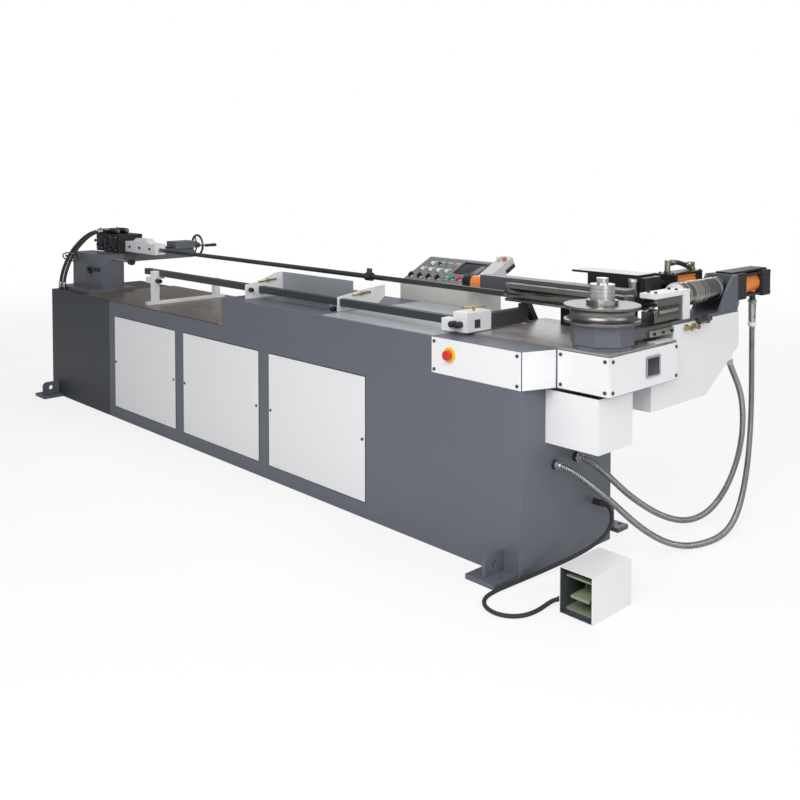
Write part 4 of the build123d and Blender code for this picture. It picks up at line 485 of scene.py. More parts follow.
@dataclass(frozen=True)
class Plastic(Finish):
    """Moulded plastic with a fine texture."""

    colour: Colour
    roughness: float = 0.38
    grain: float = 700.0
    depth: float = 0.08
    wear_scale: float = 25.0
    gloss_swing: float = 0.08
    grain_depth: float = 0.0003

    def make(self, graph: Graph) -> bpy.types.Material:
        """Builds the plastic.

        Args:
            graph: The new material's node graph.

        Returns:
            The material.
        """
        wear = graph.noise(self.wear_scale, 4.0)
        return graph.dress(
            Base_Color=graph.tones(wear, self.colour, (0.92, 1.06)),
            Roughness=self.roughness - self.gloss_swing / 2 + wear * self.gloss_swing,
            Normal=graph.bump(graph.noise(self.grain, 2.0), self.depth, self.grain_depth),
        )


@dataclass(frozen=True)
class Plates(Finish):
    """Oiled steel plates, browner and wetter towards the tail, with a painted cover between them."""

    colour: Colour = (0.40, 0.375, 0.36)
    tail: Colour = (0.20, 0.160, 0.130)
    cover: Colour = (0.40, 0.42, 0.44)
    cover_span: Pair = (0.899, 1.651)
    tail_end: float = 0.0
    smear_lay: Point = (1.0, 2.6, 1.0)
    wet_level: float = 0.44
    wet_edge: float = 3.2
    spot_level: float = 0.63
    metal_share: float = 0.40
    roughness: float = 0.30

    def make(self, graph: Graph) -> bpy.types.Material:
        """Builds the plates' finish.

        Args:
            graph: The new material's node graph.

        Returns:
            The material.
        """
        place = graph.along(Axis.X)
        cover = (place > self.cover_span[0]) * (place < self.cover_span[1])
        smear = graph.noise(3.0, 6.0, graph.stretched(self.smear_lay))
        spots = graph.noise(28.0, 4.0)
        wet = graph.limited((smear - self.wet_level) * self.wet_edge, 1.0)
        metal = graph.mix(place < self.tail_end, self.colour, self.tail)
        stain = graph.mix(place < self.tail_end, shade(self.colour, 0.45), shade(self.tail, 0.30))
        worn = graph.mix((spots > self.spot_level) * 0.4, graph.mix(wet * 0.75, metal, stain), stain)
        return graph.dress(
            Base_Color=graph.mix(cover, worn, self.cover),
            Metallic=(1.0 - cover) * self.metal_share,
            Roughness=self.roughness - wet * 0.12 + spots * 0.08 + cover * 0.05,
            Normal=graph.bump(smear, 0.08, 0.001),
        )


class Paints:
    """The machine's finishes."""

    SLATE = Paint("slate_paint", (0.114, 0.122, 0.150), 0.42, 0.05)
    ARM = Paint("arm_slate_paint", ARM_SLATE, 0.32, 0.06, 0.04, 0.15)
    CHARCOAL = Paint("charcoal_paint", (0.038, 0.044, 0.050), 0.44, 0.05)
    WHITE = Paint("white_powder_coat", WHITE, 0.38, 0.015, 0.05)
    CREAM = Paint("cream_powder_coat", (0.58, 0.58, 0.54), 0.42, 0.03, 0.08)
    GREY = Paint("light_grey_paint", LIGHT_GREY, 0.35, 0.05)
    PALE = Paint("pale_grey_plate", (0.62, 0.63, 0.64), 0.30, 0.04)
    BLACK = Paint("black_machine_paint", (0.010, 0.010, 0.011), 0.38, 0.15, 0.08)
    ORANGE = Paint("orange_enamel", ORANGE, 0.24, 0.05, 0.03, 0.3)
    GREEN = Paint("green_enamel", (0.25, 0.31, 0.19), 0.38, 0.10)
    TANK = Paint("tank_paint", (0.12, 0.125, 0.135), 0.45, 0.08)
    STEEL = Steel("machined_steel", (0.46, 0.45, 0.43), 0.28)
    DARK_STEEL = Steel("oiled_dark_steel", (0.15, 0.145, 0.14), 0.30, (4.0, 200.0, 200.0), 0.5)
    DIE_STEEL = Steel("die_steel", (0.34, 0.33, 0.31), 0.22, (5.0, 300.0, 300.0), 0.35)
    BRASS = Steel("brass_fitting", (0.50, 0.40, 0.21), 0.30, (200.0, 200.0, 200.0), 0.25)
    CHROME = Steel("plated_steel", (0.64, 0.64, 0.65), 0.14, (60.0, 200.0, 200.0), 0.05)
    ZINC = Steel("zinc_plate", (0.50, 0.50, 0.50), 0.30, (120.0, 120.0, 120.0), 0.1)
    CONDUIT = Steel("flexible_conduit", (0.30, 0.30, 0.295), 0.30, (150.0, 150.0, 150.0), 0.25)
    TURNED = Turned("turned_die", (0.25, 0.245, 0.235), BEND_AXIS)
    SPINDLE = Turned("turned_spindle", (0.86, 0.86, 0.84), BEND_AXIS, 0.22, 500.0)
    RUBBER = Plastic("black_rubber", (0.008, 0.008, 0.009), 0.42, 500.0, 0.12)
    BLACK_PLASTIC = Plastic("black_plastic", (0.011, 0.011, 0.012), 0.36)
    DARK_PANEL = Plastic("dark_overlay", (0.170, 0.175, 0.188), 0.42, 900.0, 0.05)
    RED = Plastic("red_plastic", (0.60, 0.022, 0.020), 0.24)
    YELLOW = Plastic("yellow_plastic", (0.83, 0.52, 0.03), 0.30)
    GREEN_CAP = Plastic("green_plastic", (0.02, 0.30, 0.14), 0.22)
    ROSE_CAP = Plastic("rose_plastic", (0.55, 0.16, 0.20), 0.22)
    WHITE_CAP = Plastic("white_plastic", (0.78, 0.78, 0.76), 0.25)
    CREAM_CAP = Plastic("cream_plastic", (0.74, 0.70, 0.55), 0.25)
    SCREEN = Plastic("dark_screen", (0.030, 0.032, 0.040), 0.12, 200.0, 0.01)
    PLATES = Plates("oiled_plates")


@dataclass(frozen=True)
class Bend:
    """How a piece bends from its own body to a second one, between two points."""

    body: str
    start: Point
    end: Point


def circle(sides: int) -> list[Pair]:
    """Gives the corners of a regular outline of radius 1."""
    return [(cos(2 * pi * step / sides), sin(2 * pi * step / sides)) for step in range(sides)]


def skin(part: bmesh.types.BMesh, rings: Sequence[Sequence[bmesh.types.BMVert]], capped: bool) -> None:
    """Joins rings of corners with faces.

    Args:
        part: The mesh that they are in.
        rings: The rings in order, a pole being one corner many times over.
        capped: Whether the first and the last ring are closed.
    """
    sides = len(rings[0])
    for lower, upper in zip(rings, rings[1:]):
        for step in range(sides):
            after = (step + 1) % sides
            corners = list(dict.fromkeys((lower[step], lower[after], upper[after], upper[step])))
            if len(corners) > 2:
                part.faces.new(corners)
    if capped:
        part.faces.new(rings[-1])
        part.faces.new(list(reversed(rings[0])))


class Form:
    """A form that a piece's mesh is put together from."""

    def part(self) -> bmesh.types.BMesh:
        """Gives the form's own mesh."""
        raise NotImplementedError

    def turn(self) -> Matrix:
        """Gives the move that sets the form in its place."""
        return Matrix()


@dataclass(frozen=True)
class Block(Form):
    """A box with rounded edges, between its lowest and its highest corner, and a further move of it."""

    low: Point
    high: Point
    edge: float
    move: Optional[Matrix] = None

    def part(self) -> bmesh.types.BMesh:
        """Gives the box's mesh, about its middle.

        Returns:
            The mesh.
        """
        part = bmesh.new()
        bmesh.ops.create_cube(part, size=1.0)
        size = Vector(self.high) - Vector(self.low)
        bmesh.ops.transform(part, matrix=Matrix.Diagonal((*size, 1.0)), verts=part.verts)
        bmesh.ops.bevel(
            part, geom=part.edges[:], offset=min(self.edge, min(size) * 0.45), segments=3, profile=0.5,
            affect="EDGES", clamp_overlap=True,
        )
        return part

    def turn(self) -> Matrix:
        """Gives the move that sets the box in its place."""
        centred = Matrix.Translation((Vector(self.high) + Vector(self.low)) / 2)
        return centred if self.move is None else self.move @ centred


@dataclass(frozen=True)
class Plate(Form):
    """An upright plate of an outline seen from the front, from one depth to another, with rounded edges."""

    outline: Profile
    depth: Pair
    edge: float

    def part(self) -> bmesh.types.BMesh:
        """Gives the plate's mesh.

        Returns:
            The mesh.
        """
        part = bmesh.new()
        front, back = self.depth
        base = part.faces.new([part.verts.new((x, front, z)) for x, z in self.outline])
        grown = bmesh.ops.extrude_face_region(part, geom=[base])["geom"]
        corners = [item for item in grown if isinstance(item, bmesh.types.BMVert)]
        bmesh.ops.translate(part, vec=(0.0, back - front, 0.0), verts=corners)
        bmesh.ops.recalc_face_normals(part, faces=part.faces)
        bmesh.ops.bevel(
            part, geom=part.edges[:], offset=self.edge, segments=2, affect="EDGES", clamp_overlap=True,
        )
        return part


@dataclass(frozen=True)
class Tube(Form):
    """A tube along a line of points, with a radius at each of them, closed at both ends."""

    line: Sequence[Vector]
    radii: Sequence[float]
    flats: int

    def part(self) -> bmesh.types.BMesh:
        """Gives the tube's mesh.

        Returns:
            The mesh.
        """
        part = bmesh.new()
        rings = []
        last = len(self.line) - 1
        steady = Vector((0.31, -0.72, 0.62))
        for step, (point, radius) in enumerate(zip(self.line, self.radii)):
            forward = (self.line[min(step + 1, last)] - self.line[max(step - 1, 0)]).normalized()
            steady = (steady - forward * steady.dot(forward)).normalized()
            other = forward.cross(steady)
            ring = [point + radius * (steady * x + other * y) for x, y in circle(self.flats)]
            rings.append([part.verts.new(spot) for spot in ring])
        skin(part, rings, True)
        return part


@dataclass(frozen=True)
class Round(Form):
    """A form that is turned about an axis, from its foot."""

    foot: Point
    axis: Point

    flats = 32
    pole = 1e-6

    def profile(self) -> Sequence[Pair]:
        """Gives its pairs of radius and height, in order."""
        raise NotImplementedError

    def part(self) -> bmesh.types.BMesh:
        """Gives the form's mesh, upright on the origin.

        Returns:
            The mesh.
        """
        part = bmesh.new()
        rings = []
        for radius, height in self.profile():
            if radius < self.pole:
                rings.append([part.verts.new((0.0, 0.0, height))] * self.flats)
            else:
                rings.append([part.verts.new((radius * x, radius * y, height)) for x, y in circle(self.flats)])
        skin(part, rings, False)
        return part

    def turn(self) -> Matrix:
        """Gives the move that sets the form on its foot, along its axis."""
        return Matrix.Translation(self.foot) @ Vector(self.axis).to_track_quat("Z", "Y").to_matrix().to_4x4()


@dataclass(frozen=True)
class Lathe(Round):
    """A turned form of a given outline, and the number of flats that stand in for the round."""

    outline: Sequence[Pair]
    flats: int = 40

    def profile(self) -> Sequence[Pair]:
        """Gives the outline."""
        return self.outline


@dataclass(frozen=True)
class Rod(Round):
    """A round bar with rounded ends."""

    radius: float
    length: float

    def profile(self) -> Sequence[Pair]:
        """Gives the bar's outline.

        Returns:
            Pairs of radius and height, in order.
        """
        edge = min(0.001, self.radius * 0.4, self.length * 0.4)
        corner = ((edge, 0.0), (0.3 * edge, 0.3 * edge), (0.0, edge))
        rise = [(self.radius - inward, upward) for inward, upward in corner]
        fall = [(self.radius - inward, self.length - upward) for inward, upward in reversed(corner)]
        return [(0.0, 0.0), *rise, *fall, (0.0, self.length)]


@dataclass(frozen=True)
class Hexagon(Round):
    """A six-sided nut or head with chamfered corners, by its width across the flats."""

    across: float
    length: float

    flats: ClassVar[int] = 6

    def profile(self) -> Sequence[Pair]:
        """Gives the nut's outline through its corners.

        Returns:
            Pairs of radius and height, in order.
        """
        reach, top = self.across / 3 ** 0.5, self.length
        edge = top * 0.15
        side = [(reach * 0.9, 0.0), (reach, edge), (reach, top - edge), (reach * 0.9, top)]
        return [(0.0, 0.0), *side, (0.0, top)]


@dataclass(frozen=True)
class CapScrew(Round):
    """A socket-head screw that stands on a face, by the radius of its head."""

    radius: float

    flats: ClassVar[int] = 20

    def profile(self) -> Sequence[Pair]:
        """Gives the head's outline, with its socket.

        Returns:
            Pairs of radius and height, in order.
        """
        wide, tall = self.radius, self.radius * 1.1
        head = [(wide, 0.0), (wide, tall * 0.85), (wide * 0.9, tall), (wide * 0.55, tall)]
        return [*head, (wide * 0.5, tall * 0.45), (0.0, tall * 0.45)]


@dataclass(frozen=True)
class Ring(Round):
    """A ring of round section, by the radius of its middle line and of its section; its foot is its centre."""

    radius: float
    thick: float

    flats: ClassVar[int] = 48

    def profile(self) -> Sequence[Pair]:
        """Gives the section, closed on itself."""
        section = [(self.radius + self.thick * x, self.thick * y) for x, y in circle(16)]
        return [*section, section[0]]

    def part(self) -> bmesh.types.BMesh:
        """Gives the ring's mesh, joined where its section closes.

        Returns:
            The mesh.
        """
        part = super().part()
        bmesh.ops.remove_doubles(part, verts=part.verts, dist=self.pole)
        return part


@dataclass(frozen=True)
class Knob(Round):
    """A fluted knob."""

    radius: float
    length: float
    flutes: int = 18

    waves: ClassVar[tuple[float, ...]] = (1.0, 0.97, 0.92, 0.97)
    plain: ClassVar[tuple[float, ...]] = (0.95, 0.95, 0.95, 0.95)
    fluted: ClassVar[Pair] = (0.25, 0.95)
    form: ClassVar[Profile] = (
        (0.55, 0.0), (0.72, 0.12), (0.98, 0.25), (1.0, 0.35), (1.0, 0.82), (0.94, 0.95), (0.8, 1.0),
    )

    def part(self) -> bmesh.types.BMesh:
        """Gives the knob's mesh, upright on the origin.

        Returns:
            The mesh.
        """
        part = bmesh.new()
        rings = []
        for scale, height in self.form:
            waves = self.waves if self.fluted[0] <= height <= self.fluted[1] else self.plain
            reaches = [self.radius * scale * wave for wave in waves] * self.flutes
            rings.append([
                part.verts.new((reach * x, reach * y, self.length * height))
                for reach, (x, y) in zip(reaches, circle(len(reaches)))
            ])
        skin(part, rings, True)
        return part


@dataclass(frozen=True)
class Fitting:
    """A piece: its body, its finish, its slot, its forms, the solids that it stands for and how it bends."""

    name: str
    body: str
    finish: Finish
    slot: str
    forms: Sequence[Form]
    replaced: tuple[str, ...] = ()
    bend: Optional[Bend] = None

    sharp: ClassVar[float] = radians(38)

    def mesh(self) -> bpy.types.Mesh:
        """Gives the mesh of all the forms, in metres in the shared frame.

        Returns:
            The mesh.
        """
        whole = bmesh.new()
        data = bpy.data.meshes.new(self.name)
        for form in self.forms:
            part = form.part()
            bmesh.ops.transform(part, matrix=form.turn(), verts=part.verts)
            bmesh.ops.recalc_face_normals(part, faces=part.faces)
            part.to_mesh(data)
            whole.from_mesh(data)
            part.free()
        for edge in whole.edges:
            if len(edge.link_faces) == 2:
                edge.smooth = edge.calc_face_angle(0.0) < self.sharp
        for face in whole.faces:
            face.smooth = True
        whole.to_mesh(data)
        whole.free()
        return data

    def make(self) -> bpy.types.Object:
        """Makes the piece's object, dresses it, sets it on its body and gives it.

        Returns:
            The object.
        """
        data = self.mesh()
        made = bpy.data.objects.new(self.name, data)
        bpy.context.scene.collection.objects.link(made)
        data.materials.append(self.finish.material())
        if self.bend:
            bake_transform(made)
        else:
            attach(made, self.body)
        if self.replaced:
            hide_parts(*self.replaced)
        log.info("piece %s rides on %s", self.name, self.body)
        return made


def border(low: Pair, high: Pair, width: float) -> list[tuple[Pair, Pair]]:
    """Gives the four strips of a border inside a rectangle.

    Args:
        low: The rectangle's lowest corner.
        high: Its highest corner.
        width: The border's width.

    Returns:
        The lowest and the highest corner of each strip.
    """
    (left, base), (right, top) = low, high
    return [
        ((left, base), (right, base + width)),
        ((left, top - width), (right, top)),
        ((left, base + width), (left + width, top - width)),
        ((right - width, base + width), (right, top - width)),
    ]


def tie_nuts(end: Point, offset: float, nut: Pair, stud: Pair) -> list[Form]:
    """Gives the nuts on a ram's four tie rods.

    Args:
        end: The middle of the ram's end face.
        offset: How far each rod is from it, sideways and up.
        nut: The nuts' width across the flats and their height.
        stud: The rods' radius and how far they stand out.

    Returns:
        The forms.
    """
    feet = [(end[0] + side, end[1], end[2] + rise) for side in (-offset, offset) for rise in (-offset, offset)]
    return [form for foot in feet for form in (Hexagon(foot, BACKWARD, *nut), Rod(foot, BACKWARD, *stud))]


def smooth_line(route: Sequence[Point]) -> list[Vector]:
    """Gives the points of the smooth line that a route's points control.

    Args:
        route: The control points, in metres.

    Returns:
        The points in order.
    """
    data = bpy.data.curves.new("route", "CURVE")
    data.dimensions = "3D"
    data.resolution_u = 10
    spline = data.splines.new("NURBS")
    spline.points.add(len(route) - 1)
    for spot, point in zip(spline.points, route):
        spot.co = (*point, 1.0)
    spline.order_u = 3
    spline.use_endpoint_u = True
    curve = bpy.data.objects.new("route", data)
    bpy.context.scene.collection.objects.link(curve)
    bpy.context.view_layer.update()
    held = bpy.data.meshes.new_from_object(curve.evaluated_get(bpy.context.evaluated_depsgraph_get()))
    points = [vertex.co.copy() for vertex in held.vertices]
    bpy.data.meshes.remove(held)
    bpy.data.objects.remove(curve)
    bpy.data.curves.remove(data)
    return points


def points_along(line: Sequence[Vector], places: Sequence[float]) -> list[Vector]:
    """Gives the points at given distances along a line.

    Args:
        line: The line's points.
        places: The distances from its start, rising.

    Returns:
        A point for each distance.
    """
    found = []
    walked = 0.0
    index = 0
    for place in places:
        span = (line[index + 1] - line[index]).length
        while index < len(line) - 2 and walked + span < place:
            walked += span
            index += 1
            span = (line[index + 1] - line[index]).length
        found.append(line[index].lerp(line[index + 1], min(1.0, (place - walked) / span if span else 0.0)))
    return found


def dress(finish: Finish, *nodes: str) -> None:
    """Gives solids of the frame a finish.

    Args:
        finish: The finish.
        nodes: The solids' names.
    """
    for node in nodes:
        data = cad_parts[node].data
        data.materials.clear()
        data.materials.append(finish.material())


def soften(width: float, *nodes: str) -> None:
    """Rounds the sharp edges of solids of the frame a little, as a modifier.

    Args:
        width: The width of the rounded edges.
        nodes: The solids' names.
    """
    for node in nodes:
        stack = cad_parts[node].modifiers
        weld = stack.new("weld", "WELD")
        weld.merge_threshold = 0.00001
        flat = stack.new("flat", "DECIMATE")
        flat.decimate_type = "DISSOLVE"
        flat.angle_limit = radians(0.5)
        edge = stack.new("edge", "BEVEL")
        edge.width = width
        edge.segments = 2
        edge.limit_method = "ANGLE"
        edge.angle_limit = radians(50)
        edge.harden_normals = True


@dataclass(frozen=True)
class Lamp:
    """A soft rectangular lamp: where it hangs, what it faces, its size and its power in watts."""

    name: str
    place: Point
    target: Point
    size: Pair
    power: float

    def hang(self) -> None:
        """Hangs the lamp."""
        data = bpy.data.lights.new(self.name, "AREA")
        data.shape = "RECTANGLE"
        data.size, data.size_y = self.size
        data.energy = self.power
        lamp = bpy.data.objects.new(self.name, data)
        lamp.location = self.place
        lamp.rotation_euler = (Vector(self.target) - Vector(self.place)).to_track_quat("-Z", "Y").to_euler()
        bpy.context.scene.collection.objects.link(lamp)


@dataclass
class Studio:
    """The camera, the lamps, the pale floor and the white surround."""

    camera_place: Point = (4.4291, -3.2081, 1.6144)
    camera_yaw: float = 46.83
    camera_pitch: float = 2.21
    camera_lens: float = 42.677
    camera_sensor: float = 36.0
    camera_shift: Pair = (0.0143, -0.2459)
    floor_reach: float = 14.0
    floor_drop: float = 0.0005
    floor_colour: Colour = (0.86, 0.86, 0.86)
    floor_glow: float = 0.80
    floor_fade: Pair = (3.2, 9.0)
    sky: Colour = (0.30, 0.305, 0.315)
    lamps: tuple[Lamp, ...] = (
        Lamp("key_lamp", (3.5, -4.2, 3.9), (1.5, 0.0, 0.5), (4.0, 3.0), 224.0),
        Lamp("end_lamp", (7.2, 0.8, 3.2), (2.0, 0.1, 0.7), (3.5, 3.0), 82.0),
        Lamp("side_lamp", (5.9, -1.9, 1.6), (2.3, 0.0, 1.0), (2.0, 1.8), 20.0),
        Lamp("back_lamp", (-2.0, 5.5, 3.6), (-0.2, 0.2, 0.6), (4.0, 2.5), 70.0),
        Lamp("top_lamp", (0.6, 1.6, 5.2), (0.4, 0.0, 0.9), (5.5, 2.0), 80.0),
    )

    def build(self) -> None:
        """Makes everything round the machine."""
        self.make_camera()
        self.make_floor()
        self.make_sky()
        for lamp in self.lamps:
            lamp.hang()
        bpy.context.scene.view_settings.view_transform = "Standard"

    def make_camera(self) -> None:
        """Sets the camera where the photograph was taken from."""
        data = bpy.data.cameras.new("viewpoint")
        data.sensor_width = self.camera_sensor
        data.lens = self.camera_lens
        data.shift_x, data.shift_y = self.camera_shift
        viewpoint = bpy.data.objects.new("viewpoint", data)
        viewpoint.location = self.camera_place
        viewpoint.rotation_euler = (radians(90.0 - self.camera_pitch), 0.0, radians(self.camera_yaw))
        bpy.context.scene.collection.objects.link(viewpoint)
        bpy.context.scene.camera = viewpoint

    def make_floor(self) -> None:
        """Lays a pale floor that fades into the white surround."""
        disc = bmesh.new()
        bmesh.ops.create_circle(disc, cap_ends=True, segments=64, radius=self.floor_reach)
        data = bpy.data.meshes.new("floor")
        disc.to_mesh(data)
        disc.free()
        floor = bpy.data.objects.new("floor", data)
        bpy.context.scene.collection.objects.link(floor)
        floor.location = (0.0, 0.0, -self.floor_drop)
        graph = Graph(bpy.data.materials.new("pale_floor"))
        tone = graph.tones(graph.noise(1.5, 3.0), self.floor_colour, (0.985, 1.0))
        graph.dress(Base_Color=tone, Roughness=0.9, Specular_IOR_Level=0.0)
        glow = graph.node("ShaderNodeEmission", Color=PURE_WHITE, Strength=1.0)
        lit = graph.mix_shaders(graph.camera_ray() * self.floor_glow, graph.own_shader(), glow)
        reach = graph.node("ShaderNodeVectorMath", {"operation": "LENGTH"}, 1, in_0=graph.place())
        near, far = self.floor_fade
        fade = graph.node(
            "ShaderNodeMapRange", {"interpolation_type": "SMOOTHSTEP"},
            Value=reach, From_Min=near, From_Max=far, To_Min=0.0, To_Max=1.0,
        )
        graph.show(graph.mix_shaders(fade, lit, graph.node("ShaderNodeBsdfTransparent")))
        data.materials.append(graph.owner)

    def make_sky(self) -> None:
        """Makes the white surround, which lights the machine at a plain level."""
        world = bpy.data.worlds.new("white_surround")
        bpy.context.scene.world = world
        graph = Graph(world, "Background")
        graph.dress(Color=self.sky, Strength=1.0)
        shown = graph.node("ShaderNodeBackground", Color=PURE_WHITE)
        graph.show(graph.mix_shaders(graph.camera_ray(), graph.own_shader(), shown))


@dataclass
class Hose:
    """One cord of the machine: its route, its size and how it ends."""

    name: str
    node: str
    route: tuple[Point, ...]
    diameter: float
    finish: Finish
    slot: str
    rib_pitch: float = 0.0
    lay: str = "loose"
    stiffness: str = "medium"
    bend: Optional[Bend] = None
    start_body: str = "bed"

    rib_form: ClassVar[Profile] = ((0.08, 0.82), (0.30, 0.97), (0.50, 1.0), (0.70, 0.97), (0.92, 0.82))
    plain_step: ClassVar[float] = 0.008
    fewest_steps: ClassVar[int] = 12

    def line(self) -> list[Vector]:
        """Gives the points of the hose's smooth line; its route is in millimetres from the bed's end."""
        return smooth_line([(BED_END + x / 1000, BED_FRONT + y / 1000, z / 1000) for x, y, z in self.route])

    def steps(self, length: float) -> list[Pair]:
        """Gives the hose's radius along its line.

        Args:
            length: The line's length.

        Returns:
            Pairs of a distance from its start and the radius there.
        """
        radius = self.diameter / 2
        if not self.rib_pitch:
            count = max(self.fewest_steps, round(length / self.plain_step))
            return [(length * step / count, radius) for step in range(count + 1)]
        root = radius * self.rib_form[0][1]
        ribbed = length - 2 * self.diameter
        ribs = round(ribbed / self.rib_pitch)
        pitch = ribbed / ribs
        made = [(0.0, root)]
        for rib in range(ribs):
            start = self.diameter + rib * pitch
            made += [(start + pitch * share, radius * size) for share, size in self.rib_form]
        return [*made, (length, root)]

    def build(self, with_pieces: Sequence[bpy.types.Object]) -> None:
        """Args:
            with_pieces: The fittings on it; not used.
        """
        points = self.line()
        length = sum((after - spot).length for spot, after in zip(points, points[1:]))
        places, radii = zip(*self.steps(length))
        line = points_along(points, places)
        tube = Tube(line, radii, 16)
        made = Fitting(self.name, "bed", self.finish, self.slot, [tube], (self.node,), self.bend).make()


class Assembly:
    """A sub-assembly of the machine: the finishes of its solids and the fittings on them."""

    def dress(self) -> None:
        """Gives the solids their finishes and soft edges."""
        raise NotImplementedError

    def fittings(self) -> list[Fitting]:
        """Lists the fittings."""
        raise NotImplementedError

    def build(self) -> None:
        """Dresses the solids and makes the fittings."""
        self.dress()
        for fitting in self.fittings():
            fitting.make()
        log.info("built %s", type(self).__name__)


@dataclass
class Cords(Assembly):
    """The conduits, the foot cable and the hoses, with their couplings."""

    clamp_route: tuple[Point, ...] = (
        (12, 215, 415), (46, 215, 415), (79, 221, 406), (110, 238, 386), (138, 272, 352), (162, 325, 304),
        (182, 392, 244), (204, 470, 172), (230, 556, 104), (262, 646, 50), (296, 742, 21), (322, 842, 15),
        (334, 946, 17), (328, 1052, 31), (309, 1158, 68), (284, 1255, 126), (259, 1340, 205), (238, 1405, 302),
        (222, 1450, 416), (210, 1477, 541), (203, 1489, 660), (200.5, 1491.8, 775), (200, 1492, 885),
        (200, 1492, 981.7),
    )
    arm_route: tuple[Point, ...] = (
        (12, 357, 418), (45, 357, 418), (76, 364, 408), (101, 383, 386), (118, 418, 353), (129, 470, 306),
        (136, 540, 250), (142, 630, 189), (148, 730, 129), (154, 835, 78), (161, 940, 42), (168, 1045, 27),
        (177, 1142, 38), (188, 1228, 82), (199, 1298, 152), (210, 1345, 243), (220, 1366, 345),
        (228, 1358, 445), (233, 1333, 535), (235, 1294, 604), (235, 1252, 660), (235, 1217.6, 704.4),
        (235, 1191.4, 747),
    )
    cable_route: tuple[Point, ...] = (
        (36, 494, 198), (66, 494, 198), (93, 487, 177), (104, 470, 138), (99, 436, 98), (84, 380, 68),
        (66, 304, 46), (48, 214, 32), (30, 120, 21), (14, 26, 13), (3, -66, 9), (-1, -150, 9), (10, -222, 9),
        (50, -270, 9), (110, -288, 9), (164, -270, 9), (198, -228, 9), (208, -176, 9), (207, -128, 10),
        (207, -92, 15), (216, -68, 23), (234, -56, 29), (258.7, -56, 29),
    )
    first_tail_route: tuple[Point, ...] = (
        (-4190, 329.7, 1142), (-4190, 297, 1142), (-4191, 260, 1131), (-4192, 218, 1106), (-4194, 178, 1072),
        (-4196, 142, 1034), (-4198, 112, 993), (-4199, 88, 950), (-4200, 66, 900), (-4200, 50, 850),
        (-4200, 40, 800), (-4200, 40, 765.3),
    )
    second_tail_route: tuple[Point, ...] = (
        (-4145, 329.7, 1142), (-4145, 297, 1142), (-4145.5, 260, 1130.5), (-4146.5, 219, 1105),
        (-4148, 180, 1071), (-4149.5, 145, 1033), (-4151, 116, 992), (-4152, 92, 949), (-4152, 70, 899),
        (-4152, 54, 849), (-4152, 44, 799), (-4152, 44, 765.3),
    )
    pressure_route: tuple[Point, ...] = (
        (32, 1037.8, 1176), (32, 1064, 1176), (32, 1100, 1172.5), (32, 1134, 1164.5), (32, 1168, 1156),
        (32, 1194.7, 1156),
    )
    conduit_size: float = 0.027
    conduit_pitch: float = 0.0085
    cable_size: float = 0.016
    hose_size: float = 0.022
    to_ram: Bend = Bend("arm", (0.0, -0.050, 0.0), (0.0, 1.060, 0.0))
    to_housing: Bend = Bend("arm", (0.0, 0.050, 0.0), (0.0, 0.800, 0.0))
    to_carriage: Bend = Bend("carriage", (0.0, 0.0, 0.800), (0.0, 0.0, 1.110))
    boot_form: Profile = (
        (0.0, 0.0), (1.62, 0.0), (1.62, 0.006), (1.5, 0.008), (1.2, 0.030), (1.08, 0.034), (0.0, 0.034),
    )
    sleeve_form: Profile = (
        (0.0, 0.0), (1.32, 0.0), (1.32, 0.009), (1.1, 0.010), (1.2, 0.012), (1.2, 0.030), (1.08, 0.032),
        (0.0, 0.032),
    )
    bed_ports: tuple[Point, ...] = ((BED_END + 0.012, -0.135, 0.415), (BED_END + 0.012, 0.007, 0.418))
    bed_nut: Pair = (0.036, 0.010)
    bed_collar: Profile = ((0.0166, 0.010), (0.0166, 0.022), (0.0145, 0.026), (0.0, 0.026))
    ram_port: Point = (2.330, 1.142, 0.982)
    ram_nut: Pair = (0.038, 0.016)
    ram_coupling: Profile = (
        (0.0155, 0.016), (0.0175, 0.018), (0.0175, 0.062), (0.0160, 0.066), (0.0168, 0.070), (0.0168, 0.104),
        (0.0145, 0.108), (0.0, 0.108),
    )
    ram_ring: Profile = ((0.0135, 0.108), (0.0186, 0.109), (0.0186, 0.126), (0.0170, 0.128), (0.0135, 0.128))
    housing_port: Point = (2.365, 0.8414, 0.747)
    housing_slope: Point = (0.0, 0.5243, -0.8515)
    housing_collar: Profile = ((0.0166, 0.010), (0.0166, 0.026), (0.0145, 0.030), (0.0, 0.030))

    def dress(self) -> None:
        """Makes every cord in the place of its solid."""
        conduit = (self.conduit_size, Paints.CONDUIT, "conduit_grey", self.conduit_pitch, "loose", "stiff")
        hose = (self.hose_size, Paints.RUBBER, "black_rubber", 0.0, "hanging")
        tail = (*hose, "medium", self.to_carriage, "carriage")
        cable = (self.cable_size, Paints.RUBBER, "black_rubber")
        for cord in (
            Hose("clamp_conduit", "conduit_to_clamp", self.clamp_route, *conduit, self.to_ram),
            Hose("arm_conduit", "conduit_to_arm", self.arm_route, *conduit, self.to_housing),
            Hose("switch_cable", "foot_cable", self.cable_route, *cable),
            Hose("first_tail_hose", "tail_hoses", self.first_tail_route, *tail),
            Hose("second_tail_hose", "tail_hoses", self.second_tail_route, *tail),
            Hose("ram_hose", "pressure_hoses", self.pressure_route, *hose, "stiff"),
        ):
            cord.build([end.make() for end in self.ends(cord)])

